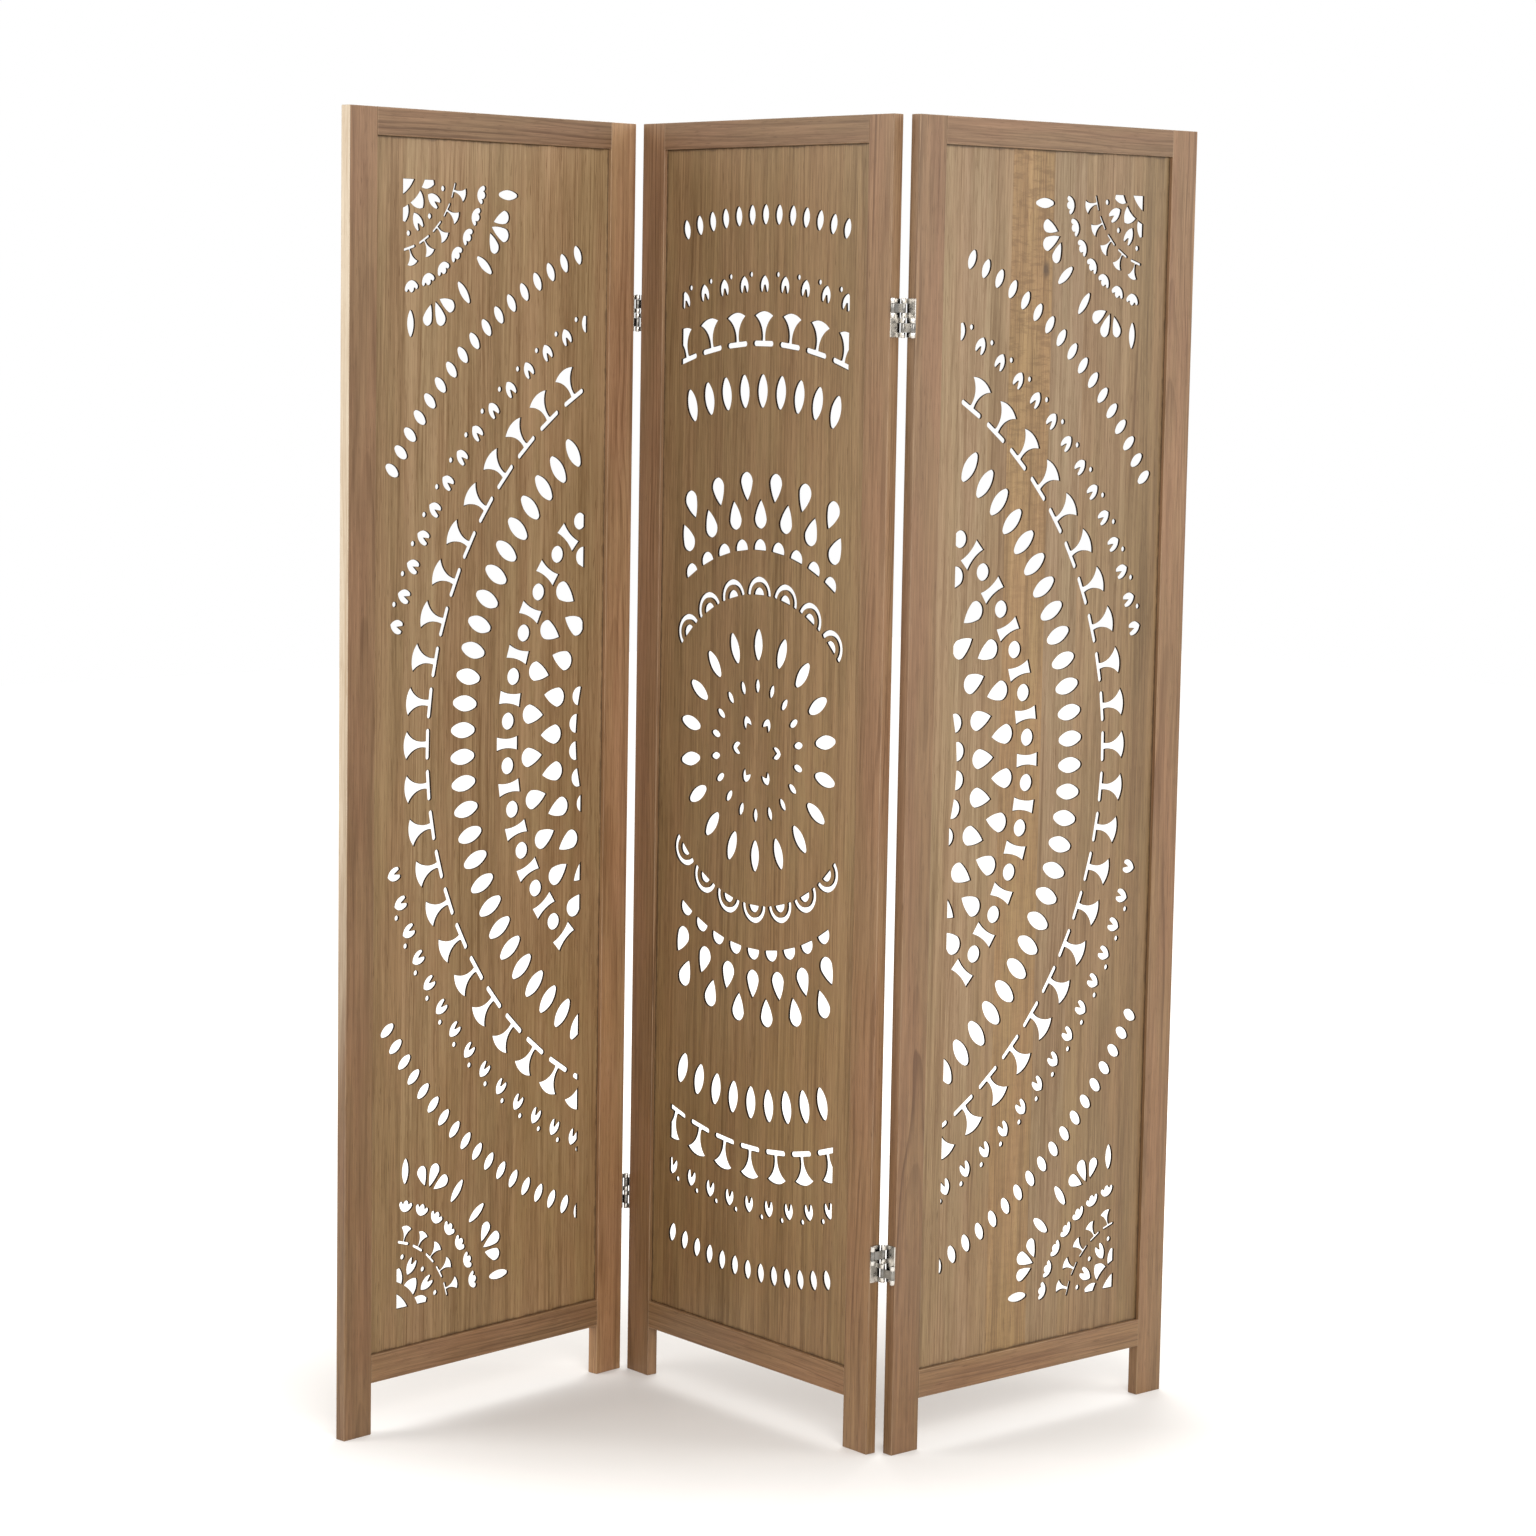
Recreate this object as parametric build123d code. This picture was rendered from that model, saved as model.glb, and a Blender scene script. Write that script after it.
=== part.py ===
from build123d import *
import os
from math import atan2, cos, degrees, radians, sin

# Carved jali screen: three framed panels, fretted boards in grooves, double-action hinges.
# Millimetres, +Z up. The middle panel's front faces -Y. Every piece is first made with the
# three panels in line, centred on the middle one, and is then swung with its panel.

# ---- panel frames ----
PANEL_WIDTH = 500.0
PANEL_HEIGHT = 1700.0
FRAME_THICKNESS = 16.0
STILE_WIDTH = 46.0
TOP_RAIL_HEIGHT = 35.0
BOTTOM_RAIL_HEIGHT = 37.0
LEG_HEIGHT = 68.0                # floor to the underside of the bottom rail
EDGE_ROUNDING = 1.0

# ---- carved boards ----
BOARD_THICKNESS = 3.0
BOARD_SETBACK = 5.0              # frame's front face to board's front face
GROOVE_DEPTH = 8.0
GROOVE_CLEARANCE = 0.1           # at each face of the board
BOARD_SIDE_GAP = 0.5             # room for the wood to swell, at each edge
BOARD_TOP_GAP = 1.0

# ---- dowels ----
DOWEL_DIAMETER = 6.0
DOWEL_LENGTH = 36.0
DOWEL_SPACING = 12.0
DOWEL_CLEARANCE = 0.05           # all round
DOWEL_END_CLEARANCE = 0.3

# ---- folds, in degrees from in line ----
LEFT_FOLD_ANGLE = 97.0                 # towards the front
RIGHT_FOLD_ANGLE = 91.0                # towards the back
EDGE_GAP = 12.0                  # between neighbouring stiles when the panels are in line
PIN_OVERHANG = 1.0               # pin axes stand this far outside the frame's faces

# ---- hinges ----
HINGE_HEIGHT = 48.0
HINGE_INSET = 250.0              # panel's top to the upper hinge's middle, floor to the lower's
HALVES_GAP = 0.5                 # between a hinge's upper and lower half
LEAF_THICKNESS = 1.5
KNUCKLE_DIAMETER = 6.0
LEAF_KNUCKLE_LENGTH = 6.0
KNUCKLE_GAP = 0.3                # between a leaf's knuckle and the link's
LINK_THICKNESS = 2.5
PIN_DIAMETER = 2.8
PIN_CLEARANCE = 0.05             # all round
PIN_HEAD_DIAMETER = 4.6
PIN_HEAD_HEIGHT = 0.8

CUT_OVERRUN = 1.0                # how far a bore's cutter runs past its leaf

# ---- screws ----
SCREW_HEAD_DIAMETER = 6.4
SCREW_SHANK_DIAMETER = 3.0
SCREW_LENGTH = 16.0              # in the wood
SCREW_POINT_LENGTH = 2.5
SCREW_CLEARANCE = 0.05
RECESS_LENGTH = 3.4
RECESS_WIDTH = 0.8
RECESS_DEPTH = 0.7

# ---- pattern: where it lies ----
WINDOW_MARGIN = 36.0             # stile to the edge that cuts the rings short
SIDE_MARGIN = 14.0               # the same at a side panel's outer stile
SIDE_CENTRE_REACH = 170.0        # a side panel's rings centre this far beyond its inner edge
CORNER_SIDE_MARGIN = 47.0        # outer stile to the corner rosette's window
CORNER_RAIL_MARGIN = 52.0        # rail to the corner rosette's window
ROSETTE_OUTSET = 21.0            # rosette centre to its window's corner, across and up

# ---- pattern: clear space from each ring to the next one out, unless said ----
BUD_RADIUS = 41.5                # the flower's centre to the innermost ring's middle
SMALL_LEAF_GAP = 26.25
PETAL_GAP = 24.1
ARCH_GAP = 44.25                 # petals' tips to the arches' base line
DOME_GAP = 34.45
OUTWARD_DROP_GAP = 13.5
DROP_STAGGER = 35.0              # outward drops' middles to the inward drops', which lie between them
SPOOL_GAP = 6.25
LONG_LEAF_GAP = 38.25
BELL_GAP = 35.75
HEART_GAP = 24.5
DOT_REACH = 12.0                 # hearts' middles to the dots'
RIM_LEAF_GAP = 64.0

# ---- pattern: how many copies go round, or the angle in degrees from one copy to the next ----
BUD_COUNT = 6
PETAL_COUNT = 18
ARCH_PITCH_ANGLE = 14.9
DOME_PITCH_ANGLE = 8.0
SPOOL_PITCH_ANGLE = 8.72
MIDDLE_DROP_PITCH_ANGLE = 9.68
SIDE_DROP_PITCH_ANGLE = 9.4
MIDDLE_LONG_LEAF_PITCH_ANGLE = 4.49
SIDE_LONG_LEAF_PITCH_ANGLE = 4.28
MIDDLE_BELL_PITCH_ANGLE = 5.71
SIDE_BELL_PITCH_ANGLE = 5.78
MIDDLE_HEART_PITCH_ANGLE = 3.88
SIDE_HEART_PITCH_ANGLE = 3.82
RIM_LEAF_PITCH_ANGLE = 2.23
DOT_LEAD_SHARE = 0.36            # dot ahead of its heart, as a share of the hearts' pitch

# ---- pattern: how far a side panel's rings are turned upwards, as a share of their pitch ----
DROP_LIFT_SHARE = 0.13
LONG_LEAF_LIFT_SHARE = 0.16
BELL_LIFT_SHARE = 0.17
HEART_LIFT_SHARE = 0.1
RIM_LEAF_LIFT_SHARE = 0.1

# ---- pattern: motif sizes, (length outwards, width) unless said ----
BUD_SIZE = (16.2, 16.2)
BUD_NOTCH = 6.3
BUD_MOUTH_SHARE = 0.72           # notch's width, as a share of the bud's
SMALL_LEAF_SIZE = (18.3, 9.6)
PETAL_SIZE = (41.5, 18.3)
ARCH_OUTER_RADIUS = 23.8
ARCH_BAND = 7.0
ARCH_CORE_SIZE = (9.8, 20.5)
DOME_SIZE = (14.5, 25.0)
DROP_SIZE = (38.5, 26.0)
SPOOL_SIZE = (38.0, 19.0)
SPOOL_WAIST = 12.5
COIN_DIAMETER = 22.6
LONG_LEAF_SIZE = (43.5, 21.0)
BELL_SIZE = (45.0, 40.5)
BELL_STEM = 8.0
BELL_BAR_THICKNESS = 7.0
HEART_SIZE = (22.0, 18.2)
HEART_NOTCH = 9.5
DOT_DIAMETER = 7.2
RIM_LEAF_SIZE = (26.0, 14.3)

# ---- pattern: corner rosette, outwards from its own centre ----
ROSETTE_HUB_RADIUS = 46.0
ROSETTE_PITCH_ANGLE = 25.7
WEDGE_GAP = 13.5                 # hub to wedges
WEDGE_SIZE = (20.0, 23.5)
ROSETTE_HEART_STAGGER = 16.5     # wedges' middles to the hearts', which lie between them
ROSETTE_HEART_SIZE = (23.5, 16.5)
ROSETTE_HEART_NOTCH = 8.0
ROSETTE_DOT_REACH = 8.0          # hearts' middles to the dots'
SMALL_BELL_GAP = 12.5
SMALL_BELL_SIZE = (24.5, 20.5)
SMALL_BELL_STEM = 3.2
SMALL_BELL_BAR = 3.4
FAN_PITCH_ANGLE = 14.0           # small bells, fans and outer leaves
SCALLOP_GAP = 17.0
SCALLOP_PITCH_ANGLE = 10.6
SCALLOP_SIZE = (15.5, 23.0)
OUTER_LEAF_GAP = 20.75
OUTER_LEAF_SIZE = (34.0, 12.8)
END_LEAF_TURN_ANGLE = 9.0        # stands the two end leaves along the corner's sides
FAN_OUTSET = 1.5                 # outer leaves' inner points to the fans'
FAN_MIDDLE_SIZE = (33.5, 18.0)
FAN_SIDE_SIZE = (29.0, 17.0)
FAN_SIDE_OFFSET = (17.1, -5.5)   # side petals' centres from the middle one's: across, outwards
FAN_SPLAY_ANGLE = 42.0

# ---- worked out from the above ----
EDGE_X = PANEL_WIDTH / 2                                   # the middle panel's edge
PIN_X = EDGE_X + EDGE_GAP / 2
PIN_Y = FRAME_THICKNESS / 2 + PIN_OVERHANG
OPENING_HALF = EDGE_X - STILE_WIDTH
RAIL_TOP_Z = LEG_HEIGHT + BOTTOM_RAIL_HEIGHT               # bottom rail's upper face
RAIL_UNDER_Z = PANEL_HEIGHT - TOP_RAIL_HEIGHT              # top rail's lower face
MIDDLE_Z = (RAIL_TOP_Z + RAIL_UNDER_Z) / 2                 # every ring's centre height
BOARD_FRONT_Y = -FRAME_THICKNESS / 2 + BOARD_SETBACK
BOARD_BACK_Y = BOARD_FRONT_Y + BOARD_THICKNESS
HINGE_HEIGHTS = {"lower": HINGE_INSET, "upper": PANEL_HEIGHT - HINGE_INSET}
HALF_TOP = HINGE_HEIGHT / 2
HALF_BOTTOM = HALVES_GAP / 2
HALF_MIDDLE = (HALF_TOP + HALF_BOTTOM) / 2
KNUCKLE_RADIUS = KNUCKLE_DIAMETER / 2
PIN_RADIUS = PIN_DIAMETER / 2


def next_ring(radius, length, gap, next_length):
    """The middle radius of the ring outside one of a given middle radius and motif length."""
    return radius + length / 2 + gap + next_length / 2


SMALL_LEAF_RADIUS = next_ring(BUD_RADIUS, BUD_SIZE[0], SMALL_LEAF_GAP, SMALL_LEAF_SIZE[0])
PETAL_RADIUS = next_ring(SMALL_LEAF_RADIUS, SMALL_LEAF_SIZE[0], PETAL_GAP, PETAL_SIZE[0])
ARCH_RADIUS = next_ring(PETAL_RADIUS, PETAL_SIZE[0], ARCH_GAP, 0)
DOME_RADIUS = next_ring(ARCH_RADIUS, 2 * ARCH_OUTER_RADIUS, DOME_GAP, DOME_SIZE[0])
OUTWARD_DROP_RADIUS = next_ring(DOME_RADIUS, DOME_SIZE[0], OUTWARD_DROP_GAP, DROP_SIZE[0])
INWARD_DROP_RADIUS = OUTWARD_DROP_RADIUS + DROP_STAGGER
SPOOL_RADIUS = next_ring(INWARD_DROP_RADIUS, DROP_SIZE[0], SPOOL_GAP, SPOOL_SIZE[0])
LONG_LEAF_RADIUS = next_ring(SPOOL_RADIUS, SPOOL_SIZE[0], LONG_LEAF_GAP, LONG_LEAF_SIZE[0])
BELL_RADIUS = next_ring(LONG_LEAF_RADIUS, LONG_LEAF_SIZE[0], BELL_GAP, BELL_SIZE[0])
HEART_RADIUS = next_ring(BELL_RADIUS, BELL_SIZE[0], HEART_GAP, HEART_SIZE[0])
DOT_RADIUS = HEART_RADIUS + DOT_REACH
RIM_LEAF_RADIUS = next_ring(HEART_RADIUS, HEART_SIZE[0], RIM_LEAF_GAP, RIM_LEAF_SIZE[0])

WEDGE_RADIUS = next_ring(ROSETTE_HUB_RADIUS, 0, WEDGE_GAP, WEDGE_SIZE[0])
ROSETTE_HEART_RADIUS = WEDGE_RADIUS + ROSETTE_HEART_STAGGER
ROSETTE_DOT_RADIUS = ROSETTE_HEART_RADIUS + ROSETTE_DOT_REACH
SMALL_BELL_RADIUS = next_ring(
    ROSETTE_HEART_RADIUS, ROSETTE_HEART_SIZE[0], SMALL_BELL_GAP, SMALL_BELL_SIZE[0]
)
SCALLOP_RADIUS = next_ring(SMALL_BELL_RADIUS, SMALL_BELL_SIZE[0], SCALLOP_GAP, SCALLOP_SIZE[0])
OUTER_LEAF_RADIUS = next_ring(SCALLOP_RADIUS, SCALLOP_SIZE[0], OUTER_LEAF_GAP, OUTER_LEAF_SIZE[0])
FAN_RADIUS = OUTER_LEAF_RADIUS - OUTER_LEAF_SIZE[0] / 2 + FAN_OUTSET + FAN_MIDDLE_SIZE[0] / 2


def block(x, y, z):
    """A box from the low and high value along each axis."""
    middle = [(pair[0] + pair[1]) / 2 for pair in (x, y, z)]
    size = [pair[1] - pair[0] for pair in (x, y, z)]
    return Pos(*middle) * Box(*size)


def rod(x, y, z_low, z_high, radius):
    """An upright round bar between two heights."""
    return Pos(x, y, (z_low + z_high) / 2) * Cylinder(radius, z_high - z_low)


# ---------------------------------------------------------------- motifs
# Each motif is a flat face round its own middle, pointing along +Y, which a ring turns outwards.

def outline(*edges):
    return Face(Wire(edges))


def leaf(size):
    """Two bowed sides that run into a blunt round tip at each end."""
    tip = size[0] / 2
    side = size[1] / 2
    x = side * 0.39
    y = tip * 0.91
    return outline(
        ThreePointArc((-x, -y), (0, -tip), (x, -y)),
        ThreePointArc((x, -y), (side, 0), (x, y)),
        ThreePointArc((x, y), (0, tip), (-x, y)),
        ThreePointArc((-x, y), (-side, 0), (-x, -y)),
    )


def drop(size):
    """A round head with bowed sides that meet in a point at the inner end."""
    tip = size[0] / 2
    head = size[1] / 2
    shoulder = tip - head
    bulge = (head * 0.67, (shoulder - tip) / 2)
    return outline(
        ThreePointArc((0, -tip), bulge, (head, shoulder)),
        ThreePointArc((head, shoulder), (0, tip), (-head, shoulder)),
        ThreePointArc((-head, shoulder), (-bulge[0], bulge[1]), (0, -tip)),
    )


def dome(size):
    """A half-round with its flat side inwards."""
    top = size[0] / 2
    side = size[1] / 2
    return outline(
        Line((-side, -top), (side, -top)),
        ThreePointArc((side, -top), (0, top), (-side, -top)),
    )


def arch(radius, band):
    """A half-ring with rounded ends, round a middle on its base line."""
    inner = radius - band
    middle = radius - band / 2
    foot = -band * 0.15
    return outline(
        ThreePointArc((radius, 0), (0, radius), (-radius, 0)),
        ThreePointArc((-radius, 0), (-middle, foot), (-inner, 0)),
        ThreePointArc((-inner, 0), (0, inner), (inner, 0)),
        ThreePointArc((inner, 0), (middle, foot), (radius, 0)),
    )


def heart(size, notch, mouth=0.38):
    """A pointed leaf with a notch cut into its inner end, between two rounded shoulders.

    mouth is the notch's width as a share of the leaf's.
    """
    tip = size[0] / 2
    side = size[1] / 2
    lip = (side * mouth, -tip)
    shoulder = (side * (0.56 + 0.42 * mouth), -tip * 0.97)
    corner = (side * (0.79 + 0.21 * mouth), -tip * 0.82)
    bulge = (side * 0.99, -tip * 0.1)
    return outline(
        Line((0, notch - tip), lip),
        ThreePointArc(lip, shoulder, corner),
        ThreePointArc(corner, bulge, (0, tip)),
        ThreePointArc((0, tip), (-bulge[0], bulge[1]), (-corner[0], corner[1])),
        ThreePointArc((-corner[0], corner[1]), (-shoulder[0], shoulder[1]), (-lip[0], lip[1])),
        Line((-lip[0], lip[1]), (0, notch - tip)),
    )


def spool(size, waist):
    """A bar with flared ends."""
    tip = size[0] / 2
    side = size[1] / 2
    return outline(
        Line((-side, -tip), (side, -tip)),
        ThreePointArc((side, -tip), (waist / 2, 0), (side, tip)),
        Line((side, tip), (-side, tip)),
        ThreePointArc((-side, tip), (-waist / 2, 0), (-side, -tip)),
    )


def bell(size, stem, bar):
    """A flared fan on a stem, with a round-ended bar across the stem's foot."""
    top = size[0] / 2
    side = size[1] / 2
    crown = size[0] * 0.13
    foot = bar - top
    bar_middle = bar / 2 - top
    neck = (side * 0.36, foot + size[0] * 0.44)
    fan = (side * 0.94, top - crown)
    bar_end = side - bar / 2
    return outline(
        Line((-bar_end, -top), (bar_end, -top)),
        ThreePointArc((bar_end, -top), (side, bar_middle), (bar_end, foot)),
        Line((bar_end, foot), (stem / 2, foot)),
        ThreePointArc((stem / 2, foot), neck, fan),
        ThreePointArc(fan, (0, top), (-fan[0], fan[1])),
        ThreePointArc((-fan[0], fan[1]), (-neck[0], neck[1]), (-stem / 2, foot)),
        Line((-stem / 2, foot), (-bar_end, foot)),
        ThreePointArc((-bar_end, foot), (-side, bar_middle), (-bar_end, -top)),
    )


def scallop(size):
    """Smooth on the inner side, three lobes on the outer."""
    top = size[0] / 2
    side = size[1] / 2
    shoulder = -top * 0.04
    notch = (side * 0.45, top * 0.34)
    lobe = (side * 0.83, top * 0.68)
    return outline(
        ThreePointArc((-side, shoulder), (0, -top), (side, shoulder)),
        ThreePointArc((side, shoulder), lobe, notch),
        ThreePointArc(notch, (0, top), (-notch[0], notch[1])),
        ThreePointArc((-notch[0], notch[1]), (-lobe[0], lobe[1]), (-side, shoulder)),
    )


def wedge(size):
    """A petal with a nearly flat inner end and bowed sides that meet in an outer point."""
    top = size[0] / 2
    side = size[1] / 2
    bow = (side * 0.72, top * 0.25)
    return outline(
        ThreePointArc((-side, -top), (0, -top * 0.85), (side, -top)),
        ThreePointArc((side, -top), bow, (0, top)),
        ThreePointArc((0, top), (-bow[0], bow[1]), (-side, -top)),
    )


def disc(diameter):
    return Face(Wire([Edge.make_circle(diameter / 2)]))


def large_bell():
    return bell(BELL_SIZE, BELL_STEM, BELL_BAR_THICKNESS)


# ---------------------------------------------------------------- pattern
# The pattern is drawn on the XY plane, in a panel's own frame: X across, Y up from the floor.

def trimmed(face, window):
    """The part of a face inside a window (x low, x high, y low, y high), as a list of faces."""
    low_x, high_x, low_y, high_y = window
    bounds = face.bounding_box()
    inside_x = low_x <= bounds.min.X and bounds.max.X <= high_x
    inside_y = low_y <= bounds.min.Y and bounds.max.Y <= high_y
    if inside_x and inside_y:
        return [face]
    pane = Pos((low_x + high_x) / 2, (low_y + high_y) / 2) * Rectangle(high_x - low_x, high_y - low_y)
    piece = face & pane
    return list(piece.faces()) if piece else []


def ring(window, centre, radius, pitch, places, motif, start=90.0):
    """Copies of a motif round a circle, at the given places counted in pitches from start."""
    faces = []
    for place in places:
        angle = start + place * pitch
        x = centre[0] + radius * cos(radians(angle))
        y = centre[1] + radius * sin(radians(angle))
        faces += trimmed(Pos(x, y) * Rot(0, 0, angle - 90) * motif, window)
    return faces


def row(low, high, lift=0.0):
    """Places a whole pitch apart from low to high, all moved on by lift."""
    return [low + lift + step for step in range(round(high - low) + 1)]


def middle_pattern():
    """The whole flower in the middle panel, cut short by the window at both sides."""
    centre = (0.0, MIDDLE_Z)
    reach = OPENING_HALF - WINDOW_MARGIN
    window = (-reach, reach, RAIL_TOP_Z, RAIL_UNDER_Z)
    petal_pitch = 360 / PETAL_COUNT
    bud_pitch = 360 / BUD_COUNT
    core_radius = ARCH_RADIUS + ARCH_CORE_SIZE[0] / 2
    inward_drop = drop(DROP_SIZE)
    outward_drop = Rot(0, 0, 180) * inward_drop
    dot_places = row(1 - DOT_LEAD_SHARE, 4 - DOT_LEAD_SHARE)
    mirrored_dot_places = [-place for place in dot_places]
    faces = ring(window, centre, BUD_RADIUS, bud_pitch, row(0.5, BUD_COUNT - 0.5),
                 heart(BUD_SIZE, BUD_NOTCH, BUD_MOUTH_SHARE))
    faces += ring(window, centre, SMALL_LEAF_RADIUS, petal_pitch, range(PETAL_COUNT),
                  leaf(SMALL_LEAF_SIZE))
    faces += ring(window, centre, PETAL_RADIUS, petal_pitch, range(PETAL_COUNT), leaf(PETAL_SIZE))
    for start in (90.0, -90.0):
        def arc(radius, pitch, places, motif):
            return ring(window, centre, radius, pitch, places, motif, start)

        faces += arc(ARCH_RADIUS, ARCH_PITCH_ANGLE, row(-3, 3), arch(ARCH_OUTER_RADIUS, ARCH_BAND))
        faces += arc(core_radius, ARCH_PITCH_ANGLE, row(-3, 3), dome(ARCH_CORE_SIZE))
        faces += arc(DOME_RADIUS, DOME_PITCH_ANGLE, row(-4, 4), dome(DOME_SIZE))
        faces += arc(OUTWARD_DROP_RADIUS, MIDDLE_DROP_PITCH_ANGLE, row(-3, 3), outward_drop)
        faces += arc(INWARD_DROP_RADIUS, MIDDLE_DROP_PITCH_ANGLE, row(-2.5, 2.5), inward_drop)
        faces += arc(LONG_LEAF_RADIUS, MIDDLE_LONG_LEAF_PITCH_ANGLE, row(-4, 4), leaf(LONG_LEAF_SIZE))
        faces += arc(BELL_RADIUS, MIDDLE_BELL_PITCH_ANGLE, row(-3, 3), large_bell())
        faces += arc(HEART_RADIUS, MIDDLE_HEART_PITCH_ANGLE, row(-4, 4), heart(HEART_SIZE, HEART_NOTCH))
        faces += arc(DOT_RADIUS, MIDDLE_HEART_PITCH_ANGLE, dot_places + mirrored_dot_places,
                     disc(DOT_DIAMETER))
        faces += arc(RIM_LEAF_RADIUS, RIM_LEAF_PITCH_ANGLE, row(-6, 6), leaf(RIM_LEAF_SIZE))
    return faces


def fan(side_sign):
    """Three petals spread from one point: a middle one and, by sign, one to its side."""
    if side_sign == 0:
        return drop(FAN_MIDDLE_SIZE)
    across, outwards = FAN_SIDE_OFFSET
    return Pos(side_sign * across, outwards) * Rot(0, 0, -side_sign * FAN_SPLAY_ANGLE) * drop(FAN_SIDE_SIZE)


def corner_rosette(corner, turn_x, turn_y):
    """A quarter rosette that spreads from a corner towards the board's middle.

    turn_x and turn_y are +1 or -1, the way across and up that leads into the board.
    """
    low_x, high_x = sorted((corner[0], corner[0] + turn_x * PANEL_WIDTH))
    low_y, high_y = sorted((corner[1], corner[1] + turn_y * PANEL_HEIGHT))
    window = (low_x, high_x, low_y, high_y)
    centre = (corner[0] - turn_x * ROSETTE_OUTSET, corner[1] - turn_y * ROSETTE_OUTSET)
    start = degrees(atan2(turn_y, turn_x))
    inward_heart = Rot(0, 0, 180) * heart(ROSETTE_HEART_SIZE, ROSETTE_HEART_NOTCH)
    small_bell = bell(SMALL_BELL_SIZE, SMALL_BELL_STEM, SMALL_BELL_BAR)
    outer_leaf = leaf(OUTER_LEAF_SIZE)

    def arc(radius, pitch, places, motif):
        return ring(window, centre, radius, pitch, places, motif, start)

    faces = trimmed(Pos(*centre) * disc(2 * ROSETTE_HUB_RADIUS), window)
    faces += arc(WEDGE_RADIUS, ROSETTE_PITCH_ANGLE, row(-1, 1), wedge(WEDGE_SIZE))
    faces += arc(ROSETTE_HEART_RADIUS, ROSETTE_PITCH_ANGLE, row(-0.5, 0.5), inward_heart)
    faces += arc(ROSETTE_DOT_RADIUS, ROSETTE_PITCH_ANGLE, row(-1, 1), disc(DOT_DIAMETER))
    faces += arc(SMALL_BELL_RADIUS, FAN_PITCH_ANGLE, row(-2, 2), small_bell)
    faces += arc(SCALLOP_RADIUS, SCALLOP_PITCH_ANGLE, row(-3, 3), scallop(SCALLOP_SIZE))
    faces += arc(OUTER_LEAF_RADIUS, FAN_PITCH_ANGLE, (-0.5, 0.5), outer_leaf)
    for sign in (-1, 1):
        end_leaf = Rot(0, 0, sign * END_LEAF_TURN_ANGLE) * outer_leaf
        faces += arc(OUTER_LEAF_RADIUS, FAN_PITCH_ANGLE, [sign * 2.5], end_leaf)
    for side_sign in (-1, 0, 1):
        faces += arc(FAN_RADIUS, FAN_PITCH_ANGLE, (-1.5, 1.5), fan(side_sign))
    return faces


def side_pattern(out):
    """A side panel's share of the rings and its two corner rosettes.

    out is +1 where the panel's outer stile is at +X, as on the right, and -1 on the left.
    The rings' places count upwards from the middle height, on both panels.
    """
    centre = (-out * (EDGE_X + SIDE_CENTRE_REACH), MIDDLE_Z)
    inner = -out * (OPENING_HALF - WINDOW_MARGIN)
    outer = out * (OPENING_HALF - SIDE_MARGIN)
    window = (min(inner, outer), max(inner, outer), RAIL_TOP_Z, RAIL_UNDER_Z)
    start = 0.0 if out > 0 else 180.0
    inward_drop = drop(DROP_SIZE)
    outward_drop = Rot(0, 0, 180) * inward_drop
    heart_places = row(-17, -4, HEART_LIFT_SHARE) + row(4, 17, HEART_LIFT_SHARE)
    dot_lift = HEART_LIFT_SHARE - DOT_LEAD_SHARE
    dot_places = row(-17, -5, dot_lift) + row(5, 17, dot_lift)
    rim_leaf_places = row(-31, -14, RIM_LEAF_LIFT_SHARE) + row(14, 30, RIM_LEAF_LIFT_SHARE)

    def arc(radius, pitch, places, motif):
        turned = [out * place for place in places]
        return ring(window, centre, radius, pitch, turned, motif, start)

    faces = arc(DOME_RADIUS, DOME_PITCH_ANGLE, row(-2.5, 1.5), dome(DOME_SIZE))
    faces += arc(OUTWARD_DROP_RADIUS, SIDE_DROP_PITCH_ANGLE, row(-4, 3, DROP_LIFT_SHARE), outward_drop)
    faces += arc(INWARD_DROP_RADIUS, SIDE_DROP_PITCH_ANGLE, row(-4.5, 4.5, DROP_LIFT_SHARE), inward_drop)
    faces += arc(SPOOL_RADIUS, SPOOL_PITCH_ANGLE, row(-5, 5), spool(SPOOL_SIZE, SPOOL_WAIST))
    faces += arc(SPOOL_RADIUS, SPOOL_PITCH_ANGLE, row(-4.5, 5.5), disc(COIN_DIAMETER))
    faces += arc(LONG_LEAF_RADIUS, SIDE_LONG_LEAF_PITCH_ANGLE, row(-13.5, 12.5, LONG_LEAF_LIFT_SHARE),
                 leaf(LONG_LEAF_SIZE))
    faces += arc(BELL_RADIUS, SIDE_BELL_PITCH_ANGLE, row(-11, 10, BELL_LIFT_SHARE), large_bell())
    faces += arc(HEART_RADIUS, SIDE_HEART_PITCH_ANGLE, heart_places, heart(HEART_SIZE, HEART_NOTCH))
    faces += arc(DOT_RADIUS, SIDE_HEART_PITCH_ANGLE, dot_places, disc(DOT_DIAMETER))
    faces += arc(RIM_LEAF_RADIUS, RIM_LEAF_PITCH_ANGLE, rim_leaf_places, leaf(RIM_LEAF_SIZE))
    corner_x = out * (OPENING_HALF - CORNER_SIDE_MARGIN)
    faces += corner_rosette((corner_x, RAIL_TOP_Z + CORNER_RAIL_MARGIN), -out, 1)
    faces += corner_rosette((corner_x, RAIL_UNDER_Z - CORNER_RAIL_MARGIN), -out, -1)
    return faces


# ---------------------------------------------------------------- panels

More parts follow.
